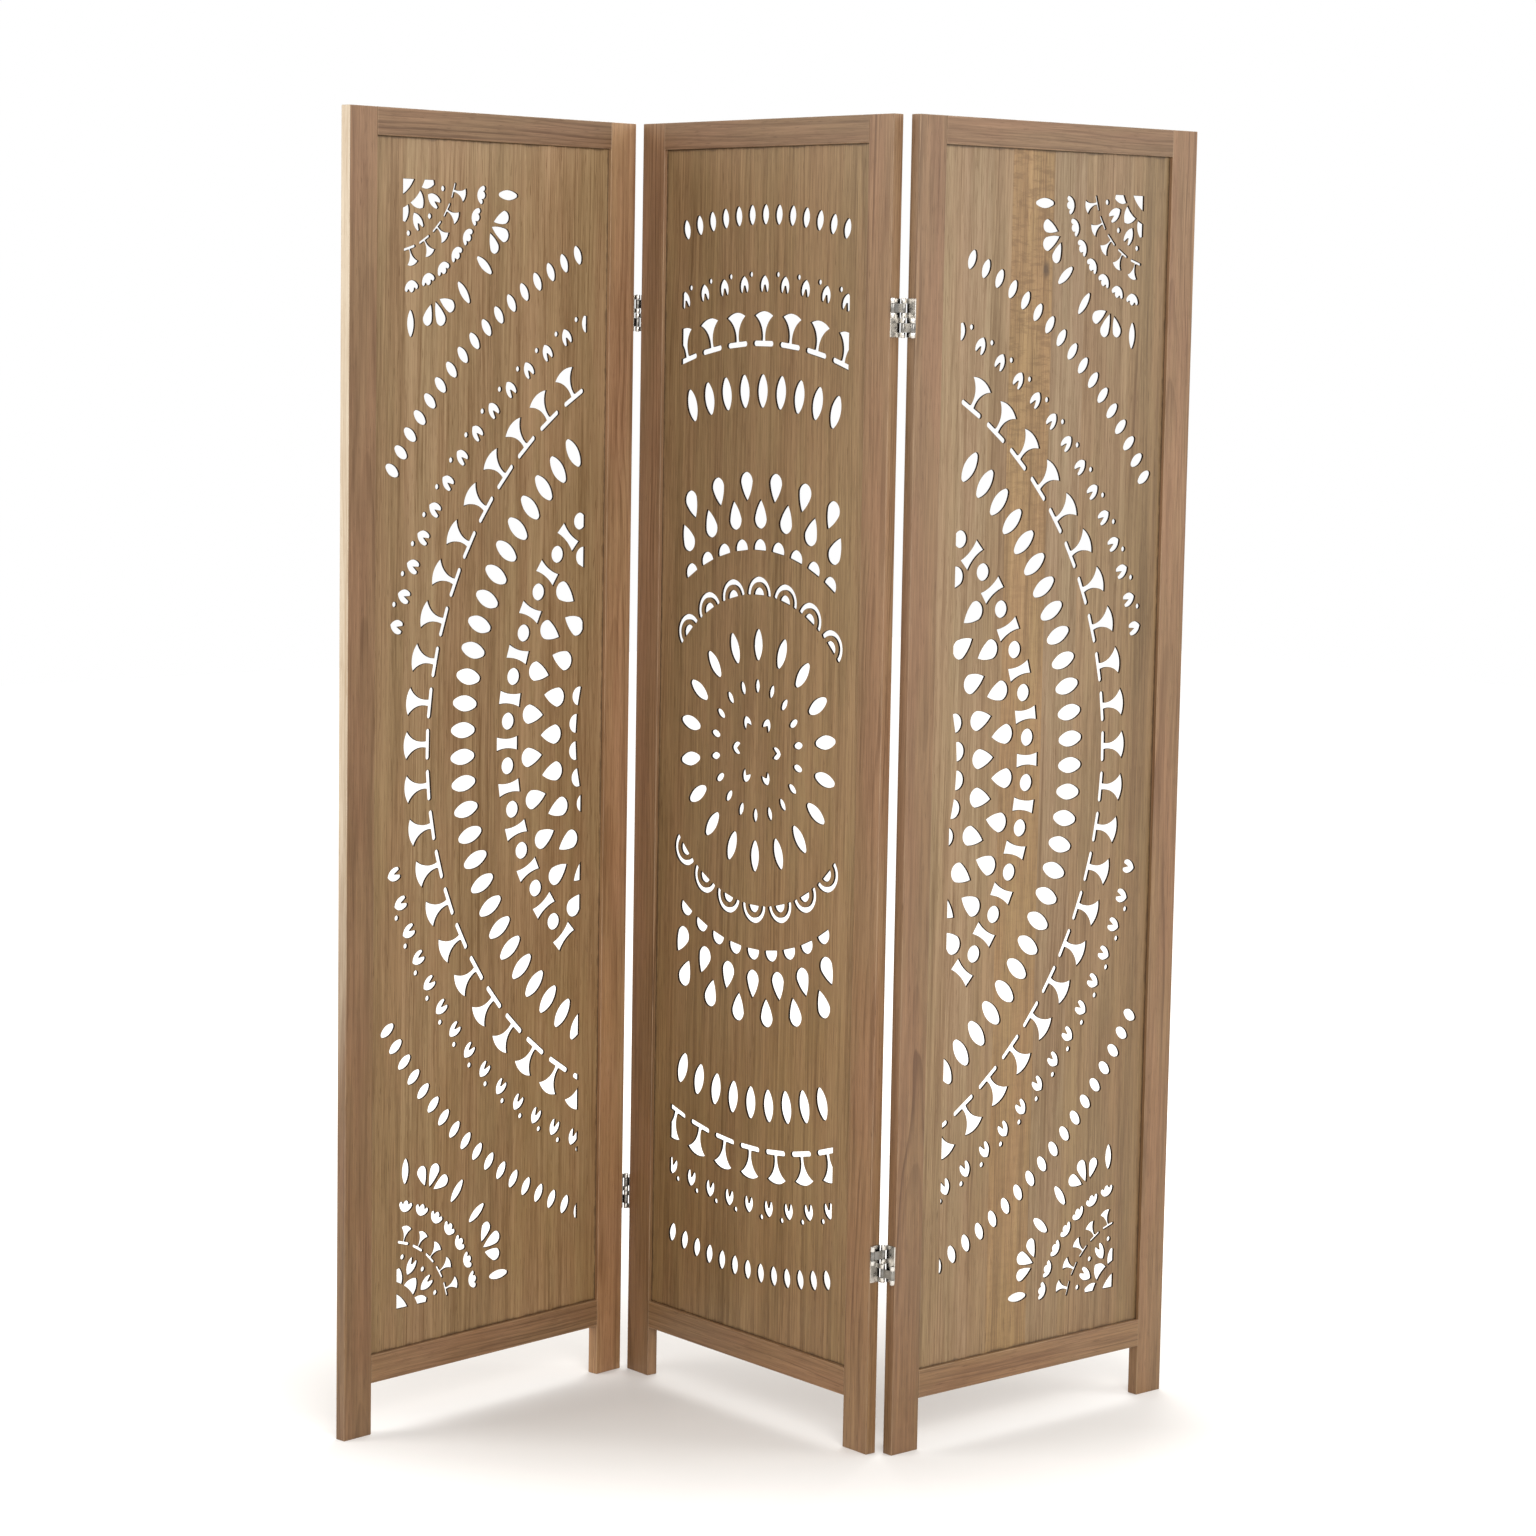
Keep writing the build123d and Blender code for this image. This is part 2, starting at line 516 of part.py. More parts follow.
def carved_board(faces):
    """The board, cut right through by the pattern, standing in the frame's grooves."""
    half_width = OPENING_HALF + GROOVE_DEPTH - BOARD_SIDE_GAP
    low_z = RAIL_TOP_Z - GROOVE_DEPTH
    high_z = RAIL_UNDER_Z + GROOVE_DEPTH - BOARD_TOP_GAP
    blank = Pos(0, (low_z + high_z) / 2) * Rectangle(2 * half_width, high_z - low_z)
    pierced = blank.cut(*faces) if faces else blank
    board = extrude(pierced, amount=BOARD_THICKNESS)
    return (Pos(0, BOARD_BACK_Y, 0) * Rot(90, 0, 0) * board).solid()


def groove(x, z):
    return block(x, (BOARD_FRONT_Y - GROOVE_CLEARANCE, BOARD_BACK_Y + GROOVE_CLEARANCE), z)


def dowel_heights(outer_z, inner_z):
    """Heights of a rail's two dowels, within its wood between outer face and groove floor."""
    inwards = 1 if inner_z > outer_z else -1
    middle = (outer_z + inner_z - inwards * GROOVE_DEPTH) / 2
    return (middle - DOWEL_SPACING / 2, middle + DOWEL_SPACING / 2)


def dowel_rods(growth, end_growth):
    """The dowels at the right-hand stile, each enlarged by the growths where a hole is wanted."""
    heights = dowel_heights(PANEL_HEIGHT, RAIL_UNDER_Z) + dowel_heights(LEG_HEIGHT, RAIL_TOP_Z)
    length = DOWEL_LENGTH + 2 * end_growth
    lying = Rot(0, 90, 0) * Cylinder(DOWEL_DIAMETER / 2 + growth, length)
    return [Pos(OPENING_HALF, 0, height) * lying for height in heights]


def panel(name, stile_names, board_faces, pilots):
    """One panel round X = 0. pilots maps a stile's side, -1 or +1, to its screw holes."""
    nodes = {}
    half = FRAME_THICKNESS / 2
    holes = dowel_rods(DOWEL_CLEARANCE, DOWEL_END_CLEARANCE)
    turned_holes = [Rot(0, 0, 180) * hole for hole in holes]
    groove_z = (RAIL_TOP_Z - GROOVE_DEPTH, RAIL_UNDER_Z + GROOVE_DEPTH)
    for side, stile_name in zip((-1, 1), stile_names):
        across = sorted((side * OPENING_HALF, side * EDGE_X))
        groove_x = sorted((side * OPENING_HALF, side * (OPENING_HALF + GROOVE_DEPTH)))
        stile = block(across, (-half, half), (0, PANEL_HEIGHT))
        stile = fillet(stile.edges(), EDGE_ROUNDING)
        stile -= groove(groove_x, groove_z)
        for hole in (holes if side > 0 else turned_holes) + pilots.get(side, []):
            stile -= hole
        nodes[f"{name}_{stile_name}_stile"] = stile.solid()

    rails = {
        "top_rail": ((RAIL_UNDER_Z, PANEL_HEIGHT), (RAIL_UNDER_Z, groove_z[1])),
        "bottom_rail": ((LEG_HEIGHT, RAIL_TOP_Z), (groove_z[0], RAIL_TOP_Z)),
    }
    for rail_name, (rail_z, rail_groove_z) in rails.items():
        rail = block((-OPENING_HALF, OPENING_HALF), (-half, half), rail_z)
        rail = fillet(rail.edges().filter_by(Axis.X), EDGE_ROUNDING)
        rail -= groove((-OPENING_HALF, OPENING_HALF), rail_groove_z)
        for hole in holes + turned_holes:
            rail -= hole
        nodes[f"{name}_{rail_name}"] = rail.solid()

    nodes[f"{name}_carved_board"] = carved_board(board_faces)
    dowels = dowel_rods(0, 0)
    nodes[f"{name}_dowels"] = Compound(dowels + [Rot(0, 0, 180) * dowel for dowel in dowels])
    return nodes


# ---------------------------------------------------------------- hinges
# A hinge is made in the right-hand gap with the panels in line, round its own middle height.
# Each half has a front pin and a back pin, and a link between them. In the upper half the
# middle panel's leaf holds the front pin and the side panel's the back one; in the lower half
# it is the other way round. One leaf is therefore the other turned half round about the gap.

def across_gap(shape):
    """A shape of the middle panel's side, turned half round the gap's middle to the other side."""
    return Pos(PIN_X, 0, 0) * Rot(0, 0, 180) * Pos(-PIN_X, 0, 0) * shape


def upside_down(shape):
    """A shape of a hinge's upper half, turned over to its lower half and the other face."""
    return Rot(180, 0, 0) * shape


def screw_form(growth):
    """A countersunk screw along Z, its head's face at 0. growth makes it a hole."""
    head = SCREW_HEAD_DIAMETER / 2 + growth
    shank = SCREW_SHANK_DIAMETER / 2 + growth
    shank_end = -LEAF_THICKNESS - SCREW_LENGTH + SCREW_POINT_LENGTH - growth
    profile = Polyline(
        (0, 0),
        (head, 0),
        (shank, -LEAF_THICKNESS),
        (shank, shank_end),
        (0, shank_end - SCREW_POINT_LENGTH),
        close=True,
    )
    return revolve(Plane.XZ * make_face(profile), Axis.Z)


def screw_places(shape):
    """A screw shape in both halves of the middle panel's leaf, driven into the stile's edge."""
    lying = Pos(EDGE_X + LEAF_THICKNESS, 0, 0) * Rot(0, 90, 0) * shape
    return [Pos(0, 0, HALF_MIDDLE) * lying, Pos(0, 0, -HALF_MIDDLE) * lying]


def screw():
    recess = Box(RECESS_LENGTH, RECESS_WIDTH, 2 * RECESS_DEPTH)
    return screw_form(0) - recess - Rot(0, 0, 90) * recess


def leaf_half():
    """What the leaf has in its upper half beyond its plate: two knuckles at the front pin."""
    face_y = -PIN_Y + KNUCKLE_RADIUS
    heights = ((HALF_BOTTOM, HALF_BOTTOM + LEAF_KNUCKLE_LENGTH), (HALF_TOP - LEAF_KNUCKLE_LENGTH, HALF_TOP))
    knuckles = []
    for low, high in heights:
        web = block((EDGE_X, PIN_X), (face_y - LEAF_THICKNESS, face_y), (low, high))
        knuckles.append(web + rod(PIN_X, -PIN_Y, low, high, KNUCKLE_RADIUS))
    return knuckles


def hinge_leaf():
    """A pressed leaf: a plate on the stile's edge that rolls out into knuckles at each face."""
    reach = PIN_Y - KNUCKLE_RADIUS + LEAF_THICKNESS
    plate = block((EDGE_X, EDGE_X + LEAF_THICKNESS), (-reach, reach), (-HALF_TOP, HALF_TOP))
    for knuckle in leaf_half():
        plate += knuckle
        plate += upside_down(knuckle)
    bore = rod(PIN_X, -PIN_Y, HALF_BOTTOM - CUT_OVERRUN, HALF_TOP + CUT_OVERRUN, PIN_RADIUS + PIN_CLEARANCE)
    plate -= bore
    plate -= upside_down(bore)
    for hole in screw_places(screw_form(SCREW_CLEARANCE)):
        plate -= hole
    return plate.solid()


def hinge_link():
    """The upper link: a bar across the gap from the front pin to the back pin."""
    low = HALF_BOTTOM + LEAF_KNUCKLE_LENGTH + KNUCKLE_GAP
    high = HALF_TOP - LEAF_KNUCKLE_LENGTH - KNUCKLE_GAP
    bar_x = (PIN_X - LINK_THICKNESS / 2, PIN_X + LINK_THICKNESS / 2)
    link = block(bar_x, (-PIN_Y, PIN_Y), (low, high))
    for y in (-PIN_Y, PIN_Y):
        link += rod(PIN_X, y, low, high, KNUCKLE_RADIUS)
    for y in (-PIN_Y, PIN_Y):
        link -= rod(PIN_X, y, low, high, PIN_RADIUS + PIN_CLEARANCE)
    return link.solid()


def hinge_pin():
    """The upper front pin: riveted flush between the halves, with a domed head above."""
    head = rod(PIN_X, -PIN_Y, HALF_TOP, HALF_TOP + PIN_HEAD_HEIGHT, PIN_HEAD_DIAMETER / 2)
    head = fillet(head.edges().group_by(Axis.Z)[-1], PIN_HEAD_HEIGHT * 0.9)
    return (head + rod(PIN_X, -PIN_Y, HALF_BOTTOM, HALF_TOP, PIN_RADIUS)).solid()


def hinge():
    """One hinge's pieces round height 0, by name, and whether each turns with the side panel."""
    hinge_plate = hinge_leaf()
    link = hinge_link()
    pins = [hinge_pin(), upside_down(hinge_pin())]
    screws = screw_places(screw())
    return {
        "middle_leaf": (hinge_plate, False),
        "side_leaf": (across_gap(hinge_plate), True),
        "upper_link": (link, False),
        "lower_link": (upside_down(link), True),
        "middle_pins": (Compound(pins), False),
        "side_pins": (Compound([across_gap(pin) for pin in pins]), True),
        "middle_screws": (Compound(screws), False),
        "side_screws": (Compound([across_gap(piece) for piece in screws]), True),
    }


# ---------------------------------------------------------------- assembly

def in_line(side, shape):
    """A shape of the right-hand gap, or its half turn about the screen's middle on the left."""
    return shape if side > 0 else Rot(0, 0, 180) * shape


def swung(side, shape):
    """A side panel's shape, swung from in line to its fold about the pins that it turns on."""
    fold = RIGHT_FOLD_ANGLE if side > 0 else LEFT_FOLD_ANGLE
    to_axis = Pos(-side * PIN_X, -side * PIN_Y, 0)
    from_axis = Pos(side * PIN_X, side * PIN_Y, 0)
    return from_axis * Rot(0, 0, fold) * to_axis * shape


nodes = {}
panel_pitch = PANEL_WIDTH + EDGE_GAP
pilot_forms = []
for hinge_z in HINGE_HEIGHTS.values():
    for form in screw_places(screw_form(SCREW_CLEARANCE)):
        pilot_forms.append(Pos(0, 0, hinge_z) * form)
turned_pilots = [Rot(0, 0, 180) * form for form in pilot_forms]

middle_pilots = {-1: turned_pilots, 1: pilot_forms}
nodes.update(panel("middle", ("left", "right"), middle_pattern(), middle_pilots))
side_panels = {
    "left": (-1, ("outer", "inner"), {1: pilot_forms}),
    "right": (1, ("inner", "outer"), {-1: turned_pilots}),
}
for name, (side, stile_names, pilots) in side_panels.items():
    pieces = panel(name, stile_names, side_pattern(side), pilots)
    for node, shape in pieces.items():
        nodes[node] = swung(side, Pos(side * panel_pitch, 0, 0) * shape)
    for level, hinge_z in HINGE_HEIGHTS.items():
        for piece_name, (shape, turns) in hinge().items():
            placed = in_line(side, Pos(0, 0, hinge_z) * shape)
            nodes[f"{name}_{level}_hinge_{piece_name}"] = swung(side, placed) if turns else placed

# The origin is the middle of the folded screen's footprint, on the floor.
bounds = Compound(list(nodes.values())).bounding_box()
footprint_x = (bounds.min.X + bounds.max.X) / 2
footprint_y = (bounds.min.Y + bounds.max.Y) / 2

os.makedirs("parts", exist_ok=True)
for node, shape in nodes.items():
    export_step(Pos(-footprint_x, -footprint_y, 0) * shape, f"parts/{node}.step")

print(f"{len(nodes)} nodes, footprint {bounds.size.X:.2f} x {bounds.size.Y:.2f}")
print(f"left fold axis at {-PIN_X - footprint_x:.4f}, {-PIN_Y - footprint_y:.4f}")
print(f"right fold axis at {PIN_X - footprint_x:.4f}, {PIN_Y - footprint_y:.4f}")
foot_x = EDGE_X - STILE_WIDTH / 2
print(f"middle panel's left foot at {-foot_x - footprint_x:.4f}, {-footprint_y:.4f}")
print(f"middle panel's right foot at {foot_x - footprint_x:.4f}, {-footprint_y:.4f}")
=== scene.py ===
from cmath import phase, rect
from math import acos, atan2, ceil, cos, pi, radians, sin
import bpy
from mathutils import Matrix, Vector


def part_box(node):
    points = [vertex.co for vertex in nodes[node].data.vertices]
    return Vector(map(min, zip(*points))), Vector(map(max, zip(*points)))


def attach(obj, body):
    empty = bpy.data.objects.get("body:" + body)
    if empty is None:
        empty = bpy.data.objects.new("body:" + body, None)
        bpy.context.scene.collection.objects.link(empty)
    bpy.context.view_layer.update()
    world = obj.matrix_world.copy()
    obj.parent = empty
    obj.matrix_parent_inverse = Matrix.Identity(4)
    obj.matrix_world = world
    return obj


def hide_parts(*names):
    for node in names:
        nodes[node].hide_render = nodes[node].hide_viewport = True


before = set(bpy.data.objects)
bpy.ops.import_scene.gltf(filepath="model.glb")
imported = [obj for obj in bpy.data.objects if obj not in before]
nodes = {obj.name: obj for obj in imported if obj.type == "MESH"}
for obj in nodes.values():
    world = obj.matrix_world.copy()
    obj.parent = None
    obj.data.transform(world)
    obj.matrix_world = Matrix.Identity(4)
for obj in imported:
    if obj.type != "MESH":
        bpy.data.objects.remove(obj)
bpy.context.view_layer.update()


# ======================================================================== stiles
# The six upright bars, two to a panel: planed paulownia with every arris eased, run down past the
# bottom rail so that their end grain stands on the floor. They are stained brown and waxed, and the
# stain is thinner where hands and cloths rub the arrises.

PANEL_STILES = {"left": ("outer", "inner"), "middle": ("left", "right"), "right": ("inner", "outer")}

# how light each stile dried; the left inner stile's value is raised further as painted light, to lift it
# out of the shade of the fold
STILE_TONES = {
    "left_outer": 0.80, "left_inner": 1.27, "middle_left": 0.94,
    "middle_right": 0.95, "right_inner": 0.80, "right_outer": 0.88,
}

FRAME_PALE = (0.370, 0.217, 0.118)
FRAME_DARK = (0.155, 0.077, 0.034)
GREENER_STAIN = (0.95, 1.01, 0.93)
REDDER_STAIN = (1.04, 0.99, 0.98)
LOW_DARKENING = (0.84, 0.70, 0.38)
LOW_DARKENING_TOP = 1.5            # the darkening thins out up to this height
WORN_ARRIS = (0.480, 0.345, 0.215)
WORN_SHARE = 0.22                # how much of the stain is gone where the rub is strongest
ARRIS_WIDTH = 0.0022
STILE_RING_WIDTH = 0.0046
# the log's heart from a bar's middle, across and through: the first place, a step and how many places
STILE_PITH = ((0.028, -0.019, 4), (0.030, 0.012, 3))
SAWN_APART = 3.7                 # along the log, from one bar's wood to the next one's
GRAIN_RELIEF = 0.00012           # depth of the open grain
STAIN_IOR = 1.48
# the left outer stile's pale outer edge: partly wood that the stain hardly took, partly a painted
# highlight
BARE_LIT_EDGE = (0.700, 0.590, 0.440)
BARE_LIT_EDGE_DEPTH = 0.0012         # in from the edge's face, and full at a third of that
BARE_LIT_EDGE_LOW = 0.45             # the pale edge, bare wood and painted highlight, fades out from the higher of these to the lower
BARE_LIT_EDGE_HIGH = 0.95
BARE_LIT_EDGE_RAGGED = 0.9           # how far the grain breaks up that fade


def add(tree, kind, sockets=None, **settings):
    """A shader node with its settings, and its inputs each set to a value or linked to an output."""
    made = tree.nodes.new("ShaderNode" + kind)
    for name, value in settings.items():
        setattr(made, name, value)
    for key, value in (sockets or {}).items():
        if isinstance(value, bpy.types.NodeSocket):
            tree.links.new(value, made.inputs[key])
        else:
            made.inputs[key].default_value = value
    return made


def reckon(tree, operation, *values):
    """The result of a Math node."""
    return add(tree, "Math", dict(enumerate(values)), operation=operation).outputs[0]


def reckon_vector(tree, operation, *values):
    """The result of a Vector Math node."""
    return add(tree, "VectorMath", dict(enumerate(values)), operation=operation).outputs[0]


def length_of(tree, vector):
    return add(tree, "VectorMath", {0: vector}, operation="LENGTH").outputs["Value"]


def scaled(tree, vector, share):
    return add(tree, "VectorMath", {0: vector, 3: share}, operation="SCALE").outputs[0]


def axes_of(tree, vector):
    return add(tree, "SeparateXYZ", {0: vector}).outputs


def object_point(tree):
    """A point of the surface in its object's own frame."""
    return add(tree, "TexCoord").outputs["Object"]


def between(tree, value, low, high, to_low=0.0, to_high=1.0):
    """A value eased from one range to another and held at its ends."""
    sockets = {"Value": value, "From Min": low, "From Max": high, "To Min": to_low, "To Max": to_high}
    return add(tree, "MapRange", sockets, interpolation_type="SMOOTHSTEP").outputs[0]


def opaque(colour):
    return (*colour, 1.0)


def blend_colours(tree, factor, one, other, mode="MIX"):
    sockets = {0: factor, 6: one, 7: other}
    return add(tree, "Mix", sockets, data_type="RGBA", blend_type=mode).outputs[2]


def mottle(tree, point, waves, detail=2.0, roughness=0.5):
    """Noise with so many waves to a metre along each axis."""
    stretched = reckon_vector(tree, "MULTIPLY", point, waves)
    sockets = {"Vector": stretched, "Scale": 1.0, "Detail": detail, "Roughness": roughness}
    return add(tree, "TexNoise", sockets)


def effect(name, inputs, outputs):
    """An empty shader node group with its sockets, and the nodes at its two ends."""
    tree = bpy.data.node_groups.new(name, "ShaderNodeTree")
    for label, (kind, start) in inputs.items():
        socket = tree.interface.new_socket(label, in_out="INPUT", socket_type="NodeSocket" + kind)
        if start is not None:
            socket.default_value = start
    for label, kind in outputs.items():
        tree.interface.new_socket(label, in_out="OUTPUT", socket_type="NodeSocket" + kind)
    return tree, tree.nodes.new("NodeGroupInput").outputs, tree.nodes.new("NodeGroupOutput").inputs


def place_effect(tree, group, sockets):
    """The outputs of a shader node group placed in a material."""
    return add(tree, "Group", sockets, node_tree=group).outputs


def make_wood_grain():
    """Yearly rings round a pith that wanders, with fibres and open pores along Z."""
    tree, given, result = effect(
        "wood grain",
        {
            "Vector": ("Vector", None),
            "Pith": ("Vector", (0.0, 0.05, 0.0)),
            "Ring Width": ("Float", 0.004),
            "Wander": ("Float", 0.02),
            "Ring Share": ("Float", 0.6),
        },
        {"Dark": "Float", "Fibres": "Float", "Height": "Float"},
    )
    point = given["Vector"]
    slow = mottle(tree, point, (3.0, 3.0, 1.5), 2.0).outputs["Color"]
    centred = reckon_vector(tree, "SUBTRACT", slow, (0.5, 0.5, 0.5))
    drift = scaled(tree, centred, given["Wander"])
    fine = mottle(tree, point, (25.0, 25.0, 5.0), 2.0).outputs["Color"]
    ripple = scaled(tree, fine, 0.005)
    drifted = reckon_vector(tree, "ADD", reckon_vector(tree, "ADD", point, drift), ripple)
    from_pith = reckon_vector(tree, "SUBTRACT", drifted, given["Pith"])
    flat = reckon_vector(tree, "MULTIPLY", from_pith, (1.0, 1.0, 0.0))
    tapered = reckon(tree, "MULTIPLY_ADD", axes_of(tree, point)["Z"], 0.012, length_of(tree, flat))
    years = reckon(tree, "DIVIDE", tapered, given["Ring Width"])
    growth = add(tree, "TexNoise", {"W": years, "Scale": 0.22, "Detail": 1.0}, noise_dimensions="1D")
    aged = reckon(tree, "MULTIPLY_ADD", growth.outputs[0], 3.0, years)
    within = reckon(tree, "FRACT", aged)
    year = {"W": reckon(tree, "FLOOR", aged)}
    strength = add(tree, "TexWhiteNoise", year, noise_dimensions="1D").outputs["Value"]
    rising = between(tree, within, 0.40, 0.90)
    falling = between(tree, within, 0.92, 1.0, 1.0, 0.0)
    late = reckon(tree, "MULTIPLY", rising, falling)
    rings = reckon(tree, "MULTIPLY", late, reckon(tree, "MULTIPLY_ADD", strength, 0.8, 0.2))
    stretches = mottle(tree, point, (40.0, 40.0, 5.0)).outputs[0]
    rings = reckon(tree, "MULTIPLY", rings, between(tree, stretches, 0.35, 0.60, 0.35, 1.0))
    fibre = mottle(tree, point, (900.0, 900.0, 14.0), 3.0, 0.6).outputs[0]
    streak = mottle(tree, point, (120.0, 120.0, 3.2), 4.0, 0.74).outputs[0]
    patch = mottle(tree, point, (14.0, 14.0, 1.5), 2.0).outputs[0]
    pore = between(tree, mottle(tree, point, (1500.0, 1500.0, 45.0), 1.0).outputs[0], 0.60, 0.72)
    early = reckon(tree, "SUBTRACT", 1.0, rising)
    pores = reckon(tree, "MULTIPLY", pore, early)
    dark = -1.40                 # brings the sum of the parts below to about half way from pale to dark
    for part, share in (
        (rings, given["Ring Share"]), (fibre, 1.20), (streak, 1.80), (patch, 0.50), (pores, 0.60),
    ):
        dark = reckon(tree, "MULTIPLY_ADD", part, share, dark)
    relief = reckon(tree, "MULTIPLY_ADD", fibre, 0.6, reckon(tree, "MULTIPLY", pores, -0.9))
    relief = reckon(tree, "MULTIPLY_ADD", rings, 0.35, relief)
    tree.links.new(reckon(tree, "MAXIMUM", reckon(tree, "MINIMUM", dark, 1.0), 0.0), result["Dark"])
    tree.links.new(fibre, result["Fibres"])
    tree.links.new(relief, result["Height"])
    return tree


def make_stain_tone():
    """Blotches where the stain took redder or greener, and a duller, darker colour towards the floor."""
    tree, given, result = effect(
        "stain tone",
        {
            "Vector": ("Vector", None),
            "Color": ("Color", None),
            "Blotch": ("Float", 0.5),
            "Low Darkening": ("Float", 0.5),
            "Floor Height": ("Float", 0.0),
        },
        {"Color": "Color"},
    )
    blotch = mottle(tree, given["Vector"], (22.0, 22.0, 4.0), 3.0, 0.55).outputs[0]
    warm = between(tree, blotch, 0.35, 0.65)
    tint = blend_colours(tree, warm, opaque(GREENER_STAIN), opaque(REDDER_STAIN))
    toned = blend_colours(tree, given["Blotch"], given["Color"], tint, "MULTIPLY")
    cloud = mottle(tree, given["Vector"], (9.0, 9.0, 5.0), 3.0, 0.6).outputs[0]
    # darker and yellower towards the floor, fading out with height
    low = between(tree, given["Floor Height"], 0.0, LOW_DARKENING_TOP, 1.0, 0.0)
    floor_darkening = reckon(tree, "MULTIPLY", reckon(tree, "MULTIPLY", low, given["Low Darkening"]), cloud)
    dull = blend_colours(tree, floor_darkening, toned, opaque(LOW_DARKENING), "MULTIPLY")
    tree.links.new(dull, result["Color"])
    return tree


def make_rubbed_arris():
    """Where two faces of a squared bar meet, as a mask that the grain breaks up."""
    tree, given, result = effect(
        "rubbed arris",
        {
            "Vector": ("Vector", None),
            "Half Size": ("Vector", (0.02, 0.008, 0.8)),
            "Width": ("Float", ARRIS_WIDTH),
        },
        {"Mask": "Float"},
    )
    outwards = reckon_vector(tree, "ABSOLUTE", given["Vector"])
    inside = axes_of(tree, reckon_vector(tree, "SUBTRACT", given["Half Size"], outwards))
    pairs = [reckon(tree, "ADD", inside[a], inside[b]) for a, b in ((0, 1), (0, 2), (1, 2))]
    nearest = reckon(tree, "MINIMUM", reckon(tree, "MINIMUM", pairs[0], pairs[1]), pairs[2])
    rub = mottle(tree, given["Vector"], (60.0, 60.0, 14.0), 3.0, 0.65).outputs[0]
    reach = reckon(tree, "MULTIPLY", given["Width"], reckon(tree, "MULTIPLY_ADD", rub, 2.2, -0.5))
    share = reckon(tree, "DIVIDE", nearest, reckon(tree, "MAXIMUM", reach, 0.0001))
    tree.links.new(between(tree, share, 0.3, 1.0, 1.0, 0.0), result["Mask"])
    return tree


wood_grain = make_wood_grain()
stain_tone = make_stain_tone()
rubbed_arris = make_rubbed_arris()


def middle_of(node):
    low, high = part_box(node)
    return (low + high) / 2


def panel_turn(panel):
    """How far a panel is turned from facing -Y."""
    left, right = (middle_of(f"{panel}_{stile}_stile") for stile in PANEL_STILES[panel])
    across = right - left
    return atan2(across.y, across.x)


def new_material(name):
    material = bpy.data.materials.new(name)
    material.use_nodes = True
    material.node_tree.nodes.clear()
    return material, material.node_tree


def close_material(tree, shader):
    output = tree.nodes.new("ShaderNodeOutputMaterial")
    tree.links.new(shader, output.inputs["Surface"])


def finish_stained_wood(tree, colour, grain):
    """A satin stain, duller along the fibres, that leaves the grain open."""
    roughness = reckon(tree, "MULTIPLY_ADD", grain["Fibres"], 0.18, 0.40)
    bump = add(tree, "Bump", {"Height": grain["Height"], "Strength": 0.6, "Distance": GRAIN_RELIEF})
    shader = add(tree, "BsdfPrincipled", {
        "Base Color": colour, "Roughness": roughness, "Normal": bump.outputs[0], "IOR": STAIN_IOR,
    })
    close_material(tree, shader.outputs[0])


def piece_point(tree, middle, turn):
    """A point of the frame as the piece itself sees it, from its own middle and along its own axes."""
    sockets = {"Vector": object_point(tree), "Location": middle, "Rotation": (0.0, 0.0, turn)}
    return add(tree, "Mapping", sockets, vector_type="TEXTURE").outputs[0]


def laid_down(tree, point):
    """A point turned so that the grain, which runs along Z, lies across instead."""
    return add(tree, "Mapping", {"Vector": point, "Rotation": (0.0, radians(90.0), 0.0)}).outputs[0]


def pith_beside(number, across, through):
    """Where the log's heart lay from the middle of one of many bars."""
    places = [first + step * (number % count) for first, step, count in (across, through)]
    return (*places, 0.0)


def bar_material(panel, bar, number, half_size, pith, tone, lying=False, bare_lit_side=0):
    """Stained wood for one of a panel's squared bars. lying turns the grain from upright to across."""
    material, tree = new_material(f"stained {panel} {bar}")
    middle = middle_of(f"{panel}_{bar.replace(' ', '_')}")
    own = piece_point(tree, middle, panel_turn(panel))
    along = laid_down(tree, own) if lying else own
    sawn = reckon_vector(tree, "ADD", along, (0.0, 0.0, number * SAWN_APART))
    grain = place_effect(tree, wood_grain, {
        "Vector": sawn, "Pith": pith, "Ring Width": STILE_RING_WIDTH, "Wander": 0.03,
        "Ring Share": 0.65,
    })
    pale = opaque([channel * tone for channel in FRAME_PALE])
    dark = opaque([channel * tone for channel in FRAME_DARK])
    colour = blend_colours(tree, grain["Dark"], pale, dark)
    colour = place_effect(tree, stain_tone, {
        "Vector": sawn, "Color": colour, "Blotch": 0.6, "Low Darkening": 0.75,
        "Floor Height": axes_of(tree, object_point(tree))["Z"],
    })["Color"]
    rub = place_effect(tree, rubbed_arris, {"Vector": own, "Half Size": half_size})["Mask"]
    colour = blend_colours(tree, reckon(tree, "MULTIPLY", rub, WORN_SHARE), colour, opaque(WORN_ARRIS))
    # a pale outer edge, partly bare wood and partly painted highlight
    if bare_lit_side:
        colour = bare_and_lit_edge(tree, own, colour, half_size, bare_lit_side, middle.z, grain["Dark"])
    finish_stained_wood(tree, colour, grain)
    return material


